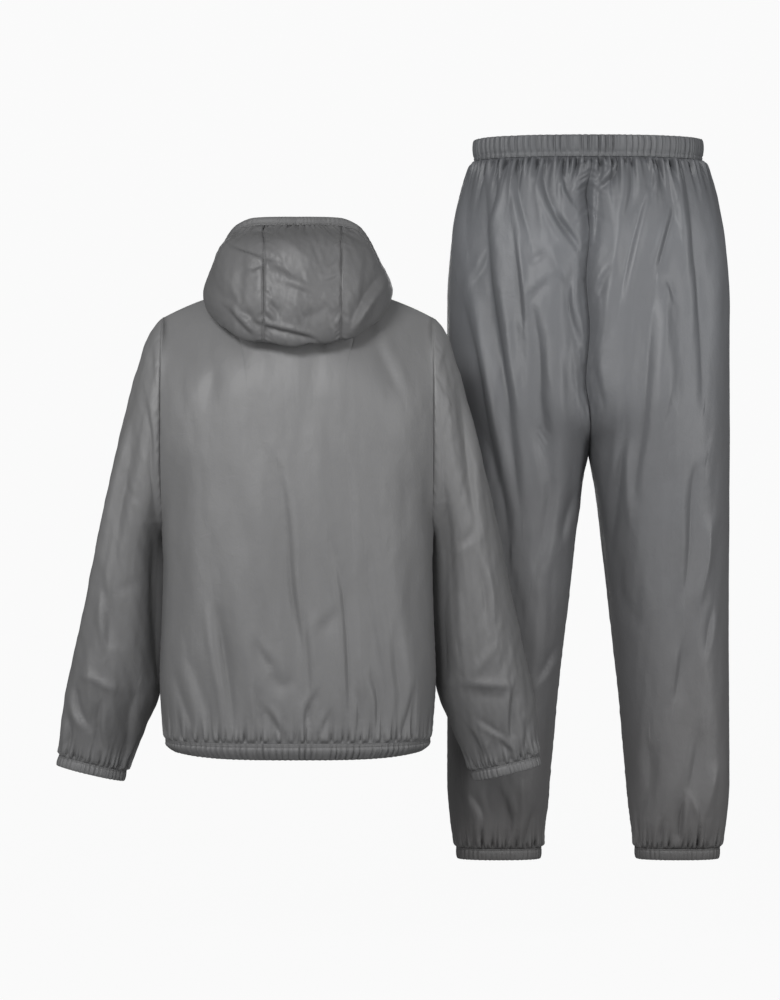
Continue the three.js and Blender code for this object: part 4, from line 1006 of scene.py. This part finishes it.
def rounded_profile(stops, height):
    """Points on a smooth line through a list of stops, at heights from 0 to 1; the line keeps an even
    pace between stops that are unevenly far apart."""
    stops = [2 * stops[0] - stops[1], *stops, 2 * stops[-1] - stops[-2]]
    spans = len(stops) - 3
    at = height * spans
    result = 0
    for i in range(spans):
        a, b, c, d = stops[i : i + 4]
        ab, bc, cd = (np.maximum(np.linalg.norm(q - p, axis=-1, keepdims=True), 1e-4) ** 0.5
                      for p, q in ((a, b), (b, c), (c, d)))
        leave = ((b - a) / ab - (c - a) / (ab + bc) + (c - b) / bc) * bc
        arrive = ((c - b) / bc - (d - b) / (bc + cd) + (d - c) / cd) * bc
        t = (at - i)[..., None]
        square, cube = 3 * (c - b) - 2 * leave - arrive, 2 * (b - c) + leave + arrive
        curve = b + leave * t + square * t**2 + cube * t**3
        here = (t >= 0) & (t < 1) if i else t < 1
        here = here | (t >= 1) if i == spans - 1 else here
        result = result + np.where(here, curve, 0)
    return result


def from_back(angle):
    """How many degrees an angle is away from the centre back, to either side."""
    return np.minimum(np.abs(angle) % 360, 360 - np.abs(angle) % 360)


def neck_seam(angle):
    """Places on the seam between neckline and hood."""
    turned = from_back(angle)
    places = np.zeros(angle.shape + (3,))
    for face in (BACK, FRONT):
        gap = ZIP_HALF_GAP if face == FRONT else 0
        x = np.maximum(gap, NECK["half_width"] * np.sin(np.radians(turned)))
        depth, z = top_edge(x, face)
        here = turned <= 90 if face == BACK else turned > 90
        places[here] = np.stack([x * np.where(angle < 0, -1, 1), face * depth, z], axis=-1)[here]
    return places


def hood_place(angle, height):
    """height: 0 at the neck seam, 1 at the casing."""
    turned = from_back(angle)
    sine, cosine = np.sin(np.radians(angle)), np.cos(np.radians(angle))
    stops = [neck_seam(angle)]
    for ring in HOOD_RINGS:
        radius, z = read(HOOD, ring + "_r", turned), read(HOOD, ring + "_z", turned)
        stops.append(np.stack([radius * sine, -radius * cosine, z], axis=-1))
    return rounded_profile(stops, height)


def hood_edge(edge, height):
    """The angle of a panel's edge: a seam by its name, or the zip's edge at an angle."""
    return read(HOOD_SEAMS, edge, height) if isinstance(edge, str) else edge + 0 * height


# The hood's mean radius and its height along a seam, for the cloth's own measures
HOOD_RADIUS, HOOD_RISE = 130, 330
# The distance that stands for a seam that a panel doesn't have
NO_SEAM = 99.0


def hood_panel(name, start, end, columns):
    """start and end: the panel's two edges, from left to right."""
    rows = 150
    share, height = np.meshgrid(np.linspace(0, 1, columns), np.linspace(0, 1, rows))
    first, last = hood_edge(start, height), hood_edge(end, height)
    angle = first + (last - first) * share
    base = hood_place(angle, height)
    out = normals(base, 1)
    x, z = base[..., 0], base[..., 2]
    width = np.radians(np.abs(last - first)) * HOOD_RADIUS
    far = np.full(x.shape, NO_SEAM)
    seam_left = share * width if start in HOOD_SEAMS else far
    seam_right = (1 - share) * width if end in HOOD_SEAMS else far
    from_top, from_neck = from_row(base, -1), from_row(base, 0)
    behind = smooth(-base[..., 1], 20, 70) * smooth(height, 0.22, 0.34)
    free = smooth(from_top, 0, 14) * smooth(from_neck, 0, 20)
    lift = crease_lift(HOOD_CREASES, x, z, -HOOD_DEPTH) * behind * free
    lift += 1.2 * swell(x, z, 71, 46, 1.3) * free + 0.5 * swell(x, z, 72, 15, 1.0) * free
    along = height * HOOD_RISE
    turn = np.radians(angle) / (2 * math.pi) + 0.5
    lift += 0.45 * gather_lift(turn, from_top, GATHERS["hood"], 420) + PUFF
    for distance in (seam_left, seam_right):
        slanted = along + 0.8 * distance + 5 * np.sin(along / 19)
        pull = 0.55 + 0.5 * np.sin(along / 37 + distance / 30) ** 2
        lift += pull * puckers(distance, slanted, 73, 1.0, pitch=8, reach=7)
    lift *= held_down(seam_left) * held_down(seam_right) * held_down(from_top, 1.8) * held_down(from_neck)
    points = base + out * lift[..., None]
    cloth_piece(name, points, 1, hood_nylon)
    return points


def casing_lead(angle):
    """The way the casing runs on from the hood, leaning inwards."""
    one = np.ones(angle.shape)
    run_out = hood_place(angle, one) - hood_place(angle, one * 0.97)
    run_out /= np.linalg.norm(run_out, axis=-1, keepdims=True)
    lead = run_out * (1 - HOOD_CASING["lean_in"]) + np.array([0, 0, 1]) * HOOD_CASING["lean_in"]
    return lead / np.linalg.norm(lead, axis=-1, keepdims=True)


def hood_casing():
    """The casing round the hood's opening."""
    columns = 520
    angle = np.linspace(-HOOD_FRONT_ANGLE, HOOD_FRONT_ANGLE, columns)
    lead = casing_lead(angle)
    base = hood_place(angle, np.ones(columns))
    aside = np.gradient(base, axis=0)
    out = np.cross(aside, lead)
    out /= np.linalg.norm(out, axis=1, keepdims=True)
    turn = (angle + 180) / 360
    rows = []
    for share, stand, shown in CASING_PROFILE:
        wave = 0.22 * ripple(turn, GATHERS["hood"], 521) * shown
        row = base + lead * share * HOOD_CASING["width"]
        rows.append(row + out * (stand * 0.8 + wave)[:, None])
    points = np.array(rows)
    band_piece("hood_casing", points, 1, hood_band_shaded, False, caps=True)
    return points


# Trousers


def leg_grid(across, down, face, side):
    """across: 0 at the outer seam, 1 at the centre seam or inner leg seam; down is in millimetres."""
    out_x, in_x = read(LEG, "out_x", down), read(LEG, "in_x", down)
    sunk = np.clip((down - SEAT["start"]) / (SEAT["crotch"] - SEAT["start"]), 0, 1)
    wrap = QUARTER * (1 - np.sqrt(1 - sunk * sunk))
    half_width = (out_x - in_x) / (1 + np.sin(wrap))
    sine = np.sin(QUARTER - across * (QUARTER + wrap))
    x = side * (out_x - half_width + half_width * sine)
    rounded = rounded_depth(sine, TROUSER_FULLNESS)
    depth = read(LEG, "back" if face == BACK else "front", down) * rounded
    return np.stack([x, face * depth, -down], axis=2) + WAIST_AT


def bridge_over(points, weight, passes=16):
    """Cloth bridges a sharp turn: each row moves towards the middle of its neighbours."""
    for _ in range(passes):
        middle = (points[:-2] + points[2:]) / 2
        points[1:-1] += 0.5 * weight[1:-1] * (middle - points[1:-1])


# Sections at the waist seam and at an ankle seam, and how far an ankle's middle is from the centre seam
WAIST_SECTION = {"half_width": 170.5, "back": 96, "front": 88, "fullness": TROUSER_FULLNESS}
ANKLE_SECTION = {"half_width": 63.4, "back": 38, "front": 37, "fullness": TROUSER_FULLNESS}
ANKLE_MIDDLE = 133.1
# How far the seat seam leans aside, and how deeply the cloth sinks in along the centre seams
SEAT_SEAM_LEAN = 6
CENTRE_SINK = {BACK: 26, FRONT: 10}


def leg_panel(name, face, side, columns, rows, creases, seed):
    """One of the four panels of the legs, from waist seam to ankle seam."""
    across, down = np.meshgrid(np.linspace(0, 1, columns), ANKLE["seam"] * crowded_ends(rows, 0.65))
    base = leg_grid(across, down, face, side)
    near_crotch = bell(down - SEAT["crotch"], 60) * (1 - across**6)
    bridge_over(base, near_crotch[..., None])
    turn = -face * side
    out = normals(base, turn)
    x, z = base[..., 0], base[..., 2]
    local_x = np.abs(x - WAIST_AT[0])
    from_ankle = ANKLE["seam"] - down
    girth = np.linalg.norm(np.diff(base, axis=1), axis=2).sum(1, keepdims=True)
    from_outer, from_inner = across * girth, (1 - across) * girth
    free = smooth(from_outer, 0, 26) * smooth(down, 0, 16)
    free = free * smooth(from_ankle, 0, 24) * smooth(from_inner, 0, 9)
    lift = crease_lift(creases, x, z, WAIST_AT[1] + face * LEG_DEPTH) * free
    above_crotch = smooth(down, 6, 60) * (1 - smooth(down, 330, 415))
    sunk = (0.5 * bell(local_x, 27) + 0.5 * bell(local_x, 9)) * above_crotch
    lift += 1.5 * swell(x, z, seed, 70, 3.4) * free * smooth(down, 10, 90) * smooth(from_ankle, 0, 60)
    lift += 0.3 * swell(x, z, seed + 1, 20, 1.8) * free
    waist_turn = section_turn(WAIST_SECTION, x[:1] - WAIST_AT[0], face)
    at_waist = gather_lift(waist_turn, down, GATHERS["waist"], 610, 1.3, 1.35)
    lift += at_waist * (0.3 + 0.7 * smooth(from_outer, 0, 70))
    ankle_x = (side * (x[-1:] - WAIST_AT[0]) - ANKLE_MIDDLE) * side
    ankle_turn = section_turn(ANKLE_SECTION, ankle_x, face)
    lift += gather_lift(ankle_turn, from_ankle, GATHERS["ankle"], 710 + side) * 0.8
    pull = 1.5 - 1.1 * smooth(down, SEAT["crotch"] - 60, SEAT["crotch"] + 10)
    slanted = down - 0.9 * from_inner + 6 * np.sin(down / 31)
    outer_puckers = puckers(from_outer, down, seed + 2, 0.2)
    lift += outer_puckers + pull * puckers(from_inner, slanted, 650, 1.0, 11, 14) + PUFF
    lift *= held_down(from_outer) * held_down(from_inner) * held_down(down, 3.5) * held_down(from_ankle, 4)
    points = base + out * lift[..., None]
    points[..., 1] -= face * CENTRE_SINK[face] * sunk
    if face == BACK:
        lean = SEAT_SEAM_LEAN + 2.5 * np.sin(down / 23)
        points[..., 0] -= lean * bell(local_x, 45) * above_crotch
    cloth_piece(name, points, turn, trouser_nylon)


def waist_band():
    """The casing at the waist."""
    section = {**WAISTBAND, "fullness": TROUSER_FULLNESS}

    def place(angles, share):
        return oval(section, angles, share * WAISTBAND["height"]) + WAIST_AT

    points = band_grid(place, out_from_middle(section), 720, GATHERS["waist"], 615, 2.3)
    band_piece("waistband", points, 1, trouser_band_shaded, True)
    return points


def ankle_band(name, side):
    """The casing at a leg's end."""
    middle = WAIST_AT + np.array([side * ANKLE_MIDDLE, 0, -ANKLE["seam"]])

    def place(angles, share):
        size = {key: ANKLE_SECTION[key] - 2 * share for key in ("half_width", "back", "front")}
        return oval({**size, "fullness": TROUSER_FULLNESS}, angles, -share * ANKLE["cuff_height"]) + middle

    away = out_from_middle(ANKLE_SECTION)
    points = band_grid(place, away, 330, GATHERS["ankle"], 710 + side, 0.8, CUFF_PROFILE)
    band_piece(name, points, -1, trouser_band_shaded, True)
    return points


# Build the garments

torso_panel("jacket_back", BACK, RIGHT, 420, 108, BACK_CREASES, 11)
for word, side in HANDS.items():
    torso_panel(f"jacket_front_{word}", FRONT, side, 210, 96, FRONT_CREASES, 21 + side)
hem = hem_band()
sleeves = {side: sleeve_panel(f"sleeve_{word}", side, 41 + side)
           for word, side in HANDS.items()}
cuffs = {side: cuff_band(f"cuff_{word}", side) for word, side in HANDS.items()}
hood_left = hood_panel("hood_side_left", -HOOD_FRONT_ANGLE, "left", 140)
hood_middle = hood_panel("hood_centre", "left", "right", 110)
hood_right = hood_panel("hood_side_right", "right", HOOD_FRONT_ANGLE, 140)
casing = hood_casing()
waist = waist_band()
for word, side in HANDS.items():
    back_creases, front_creases = SEAT_CREASES[side], LAP_CREASES[side]
    leg_panel(f"leg_back_{word}", BACK, side, 230, 190, back_creases, 51 + side)
    leg_panel(f"leg_front_{word}", FRONT, side, 170, 150, front_creases, 61 + side)
ankles = {side: ankle_band(f"ankle_cuff_{word}", side) for word, side in HANDS.items()}

# Stitches and zip teeth


def repeat_tree(name, shape, shape_inputs):
    """Geometry nodes that lay one small shape along lines, an even pitch apart."""
    recipe = Tree(bpy.data.node_groups.new(name, "GeometryNodeTree"))
    sockets = [("Lines", "INPUT", "Geometry")]
    sockets += [(size, "INPUT", "Float") for size in ("Pitch", "Width", "Height", "Length")]
    sockets += [("Finish", "INPUT", "Material"), ("Pieces", "OUTPUT", "Geometry")]
    for socket, way, kind in sockets:
        recipe.tree.interface.new_socket(socket, in_out=way, socket_type="NodeSocket" + kind)
    entry = recipe.tree.nodes.new("NodeGroupInput")
    given = {socket.name: Socket(recipe, socket) for socket in entry.outputs if socket.name}
    line = recipe.node("GeometryNodeMeshToCurve", None, {"Mesh": given["Lines"]})
    spacing = {"Curve": line, "Length": given["Pitch"]}
    spots = recipe.node("GeometryNodeCurveToPoints", {"mode": "LENGTH"}, spacing)
    along = Socket(recipe, spots.socket.node.outputs["Tangent"])
    turned = recipe.node("FunctionNodeAlignRotationToVector", {"axis": "Z"}, {"Vector": along})
    sides = {"X": given["Width"], "Y": given["Height"], "Z": given["Length"]}
    size = recipe.node("ShaderNodeCombineXYZ", None, sides)
    piece = recipe.node(shape, None, shape_inputs)
    piece = recipe.node("GeometryNodeTransform", None, {"Geometry": piece, "Scale": size})
    places = {"Points": spots, "Instance": piece, "Rotation": turned}
    laid = recipe.node("GeometryNodeInstanceOnPoints", None, places)
    real = recipe.node("GeometryNodeRealizeInstances", None, {"Geometry": laid})
    finished = {"Geometry": real, "Material": given["Finish"]}
    recipe.end("NodeGroupOutput", recipe.node("GeometryNodeSetMaterial", None, finished))
    return recipe.tree


def lay_along(name, lines, tree, sizes, finish):
    """One piece made of small ones along lines; sizes are in millimetres, by the tree's input names."""
    places, edges = [], []
    for line in lines:
        start = len(places)
        places += (np.asarray(line) * MM).tolist()
        edges += [(start + k, start + k + 1) for k in range(len(line) - 1)]
    mesh = bpy.data.meshes.new(name + "_lines")
    mesh.from_pydata(places, edges, [])
    carrier = placed(name + "_lines", mesh)
    repeat = carrier.modifiers.new("repeat", "NODES")
    repeat.node_group = tree
    inputs = [item for item in tree.interface.items_tree if item.in_out == "INPUT"]
    identifier = {item.name: item.identifier for item in inputs}
    for key, value in sizes.items():
        repeat[identifier[key]] = value * MM
    repeat[identifier["Finish"]] = finish
    evaluated = carrier.evaluated_get(bpy.context.evaluated_depsgraph_get())
    piece = placed(name, bpy.data.meshes.new_from_object(evaluated))
    bpy.data.objects.remove(carrier)
    piece.data.shade_smooth()
    dress(piece, None)
    return piece


def line_at(points, distance, at):
    """The line across a panel at one distance, from a grid of each point's distance."""
    columns = np.arange(points.shape[1])
    row = np.clip(np.argmax(distance >= at, axis=0), 1, len(points) - 1)
    low, high = distance[row - 1, columns], distance[row, columns]
    share = np.clip((at - low) / np.maximum(high - low, 1e-6), 0, 1)[:, None]
    return points[row - 1, columns] * (1 - share) + points[row, columns] * share


# Sizes of a stitch and of a tooth, how far stitches stand off the cloth, and how far the hood's rows of
# stitches are from its seams
STITCH = {"Pitch": 3.0, "Width": 0.42, "Height": 0.42, "Length": 2.2}
TOOTH = {"Pitch": 2.8, "Width": 2.1, "Height": 1.2, "Length": 1.5}
STITCH_RISE = 0.25
HOOD_STITCHES = 2.2

# The rows of a casing's profile that its two seams run along
CASING_STITCH_ROWS = (2, 5)

jacket_lines, trouser_lines = [], []
for row in CASING_STITCH_ROWS:
    jacket_lines.append(raised(hem, -1, STITCH_RISE)[row])
    jacket_lines.append(raised(casing, 1, STITCH_RISE)[row])
    trouser_lines.append(closed(raised(waist, 1, STITCH_RISE, ring=True)[row]))
    for side in (LEFT, RIGHT):
        jacket_lines.append(closed(raised(cuffs[side], -side, STITCH_RISE, ring=True)[row]))
        trouser_lines.append(closed(raised(ankles[side], -1, STITCH_RISE, ring=True)[row]))
for side in (LEFT, RIGHT):
    sleeve_face = raised(sleeves[side], -side, STITCH_RISE, ring=True)[::-1]
    jacket_lines.append(closed(line_at(sleeve_face, from_row(sleeve_face, 0), CUFF_STITCHES)))
for panel, edges in ((hood_left, (-1,)), (hood_middle, (0, -1)), (hood_right, (0,))):
    for edge in edges:
        across_panel = raised(panel, 1, STITCH_RISE).transpose(1, 0, 2)[:: 1 if edge == 0 else -1]
        jacket_lines.append(line_at(across_panel, from_row(across_panel, 0), HOOD_STITCHES))

stitches = repeat_tree("stitches", "GeometryNodeMeshUVSphere", {"Segments": 6, "Rings": 4, "Radius": 0.5})
lay_along("jacket_stitches", jacket_lines, stitches, STITCH, grey_thread)
lay_along("trouser_stitches", trouser_lines, stitches, STITCH, grey_thread)

# How far the teeth stand out of the strip, and how far each row is from the middle
TEETH_RISE = 2.0
TEETH_HALF_GAP = 0.85
# The zip runs from the top of the hood's casing, down the centre front, to the bottom of the hem band
hood_front = hood_place(np.full(24, HOOD_FRONT_ANGLE), np.linspace(1, 0.05, 24))
body_front = torso_grid(np.zeros((1, 120)), np.linspace(0.02, 1.98, 120)[None], FRONT, RIGHT)[0]
zip_line = np.vstack([hood_front[:1] + (0, 0, HOOD_CASING["width"]), hood_front, body_front,
                      (0, HEM_BAND["front"][2], HEM_SEAM_Z - HEM_BAND["height"])])
zip_line[:, 1] += TEETH_RISE
tooth_lines = []
for side in (LEFT, RIGHT):
    row = zip_line.copy()
    row[:, 0] = side * TEETH_HALF_GAP
    if side == RIGHT:
        row[0, 2] -= TOOTH["Pitch"] / 2
    tooth_lines.append(row)
teeth = repeat_tree("zip_teeth", "GeometryNodeMeshCube", {"Size": (1, 1, 1)})
lay_along("zip_teeth", tooth_lines, teeth, TOOTH, brushed_metal).data.shade_flat()

zip_finishes = {"zip_strip": dark_tape, "zip_slider": brushed_metal, "zip_pull_tab": brushed_metal}
for node, finish in zip_finishes.items():
    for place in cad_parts[node].material_slots:
        place.material = finish

# Stage, light and camera

STUDIO = {"floor": -0.95, "radius": 2.6, "round": 0.7, "height": 8.0, "bend_steps": 16, "sides": 96}


def studio_sweep():
    """A round pale floor that curves up into a pale wall; from outside, the wall is clear."""
    bend = STUDIO["round"]
    flat = STUDIO["radius"] - bend
    profile = [(0.0, STUDIO["floor"])]
    for angle in np.linspace(0, QUARTER, STUDIO["bend_steps"] + 1):
        profile.append((flat + bend * math.sin(angle), STUDIO["floor"] + bend * (1 - math.cos(angle))))
    profile.append((STUDIO["radius"], STUDIO["floor"] + STUDIO["height"]))
    around = np.linspace(0, 2 * math.pi, STUDIO["sides"], endpoint=False)
    grid = np.array([[(r * math.cos(a), r * math.sin(a), z) for a in around] for r, z in profile]) / MM
    sweep = grid_mesh("studio_floor", grid, -1, ring=True)
    finish = Finish("pale_floor")
    pale = finish.node("ShaderNodeBsdfPrincipled", None, {
        "Base Color": (0.02, 0.02, 0.02, 1), "Roughness": 1.0, "Specular IOR Level": 0.0,
        "Emission Color": (1, 1, 1, 1), "Emission Strength": 0.945,
    })
    clear = finish.node("ShaderNodeBsdfTransparent")
    outside = finish.node("ShaderNodeNewGeometry", output=6)
    surface = finish.node("ShaderNodeMixShader", None, {0: outside, 1: pale, 2: clear})
    finish.end("ShaderNodeOutputMaterial", surface)
    sweep.data.materials.append(finish.material)
    sweep.visible_diffuse = False
    sweep.visible_glossy = False
    sweep.visible_shadow = False


def soft_light(name, place, aim, size, power):
    """A rectangular lamp that is aimed at a place."""
    lamp = bpy.data.lights.new(name, "AREA")
    lamp.shape = "RECTANGLE"
    lamp.size, lamp.size_y = size
    lamp.energy = power
    thing = placed(name, lamp)
    thing.location = place
    thing.rotation_euler = (Vector(aim) - Vector(place)).to_track_quat("-Z", "Y").to_euler()


# Each light's place, the place it is aimed at, its two sizes and its power
LIGHTS = {
    "key_light": ((-1.4, -4.7, 1.9), (0.1, 0.0, -0.25), (1.5, 1.2), 150),
    "low_light": ((0.9, -4.9, -0.55), (0.35, 0.0, -0.75), (0.9, 0.9), 22),
    "fill_light": ((3.8, -2.6, 0.2), (0.1, 0.0, -0.3), (1.2, 2.6), 70),
    "left_light": ((-3.6, -2.9, 0.6), (0.1, 0.0, -0.2), (1.2, 2.4), 52),
    "back_light": ((0.2, 4.8, 0.4), (0.1, 0.0, -0.3), (2.4, 1.6), 38),
}
WORLD_LIGHT = 0.15

studio_sweep()
for light_name, light in LIGHTS.items():
    soft_light(light_name, *light)

world = bpy.data.worlds.new("studio")
world.use_nodes = True
background = world.node_tree.nodes["Background"]
background.inputs["Color"].default_value = (1, 1, 1, 1)
background.inputs["Strength"].default_value = WORLD_LIGHT
bpy.context.scene.world = world
bpy.context.scene.view_settings.view_transform = "Standard"

camera_data = bpy.data.cameras.new("camera")
camera_data.lens = CAMERA["lens"]
camera_data.sensor_width = CAMERA["sensor"]
camera = placed("camera", camera_data)
camera.location = (CAMERA["x"] * MM, -CAMERA["distance"] * MM, CAMERA["z"] * MM)
camera.rotation_euler = (QUARTER, 0, 0)
bpy.context.scene.camera = camera
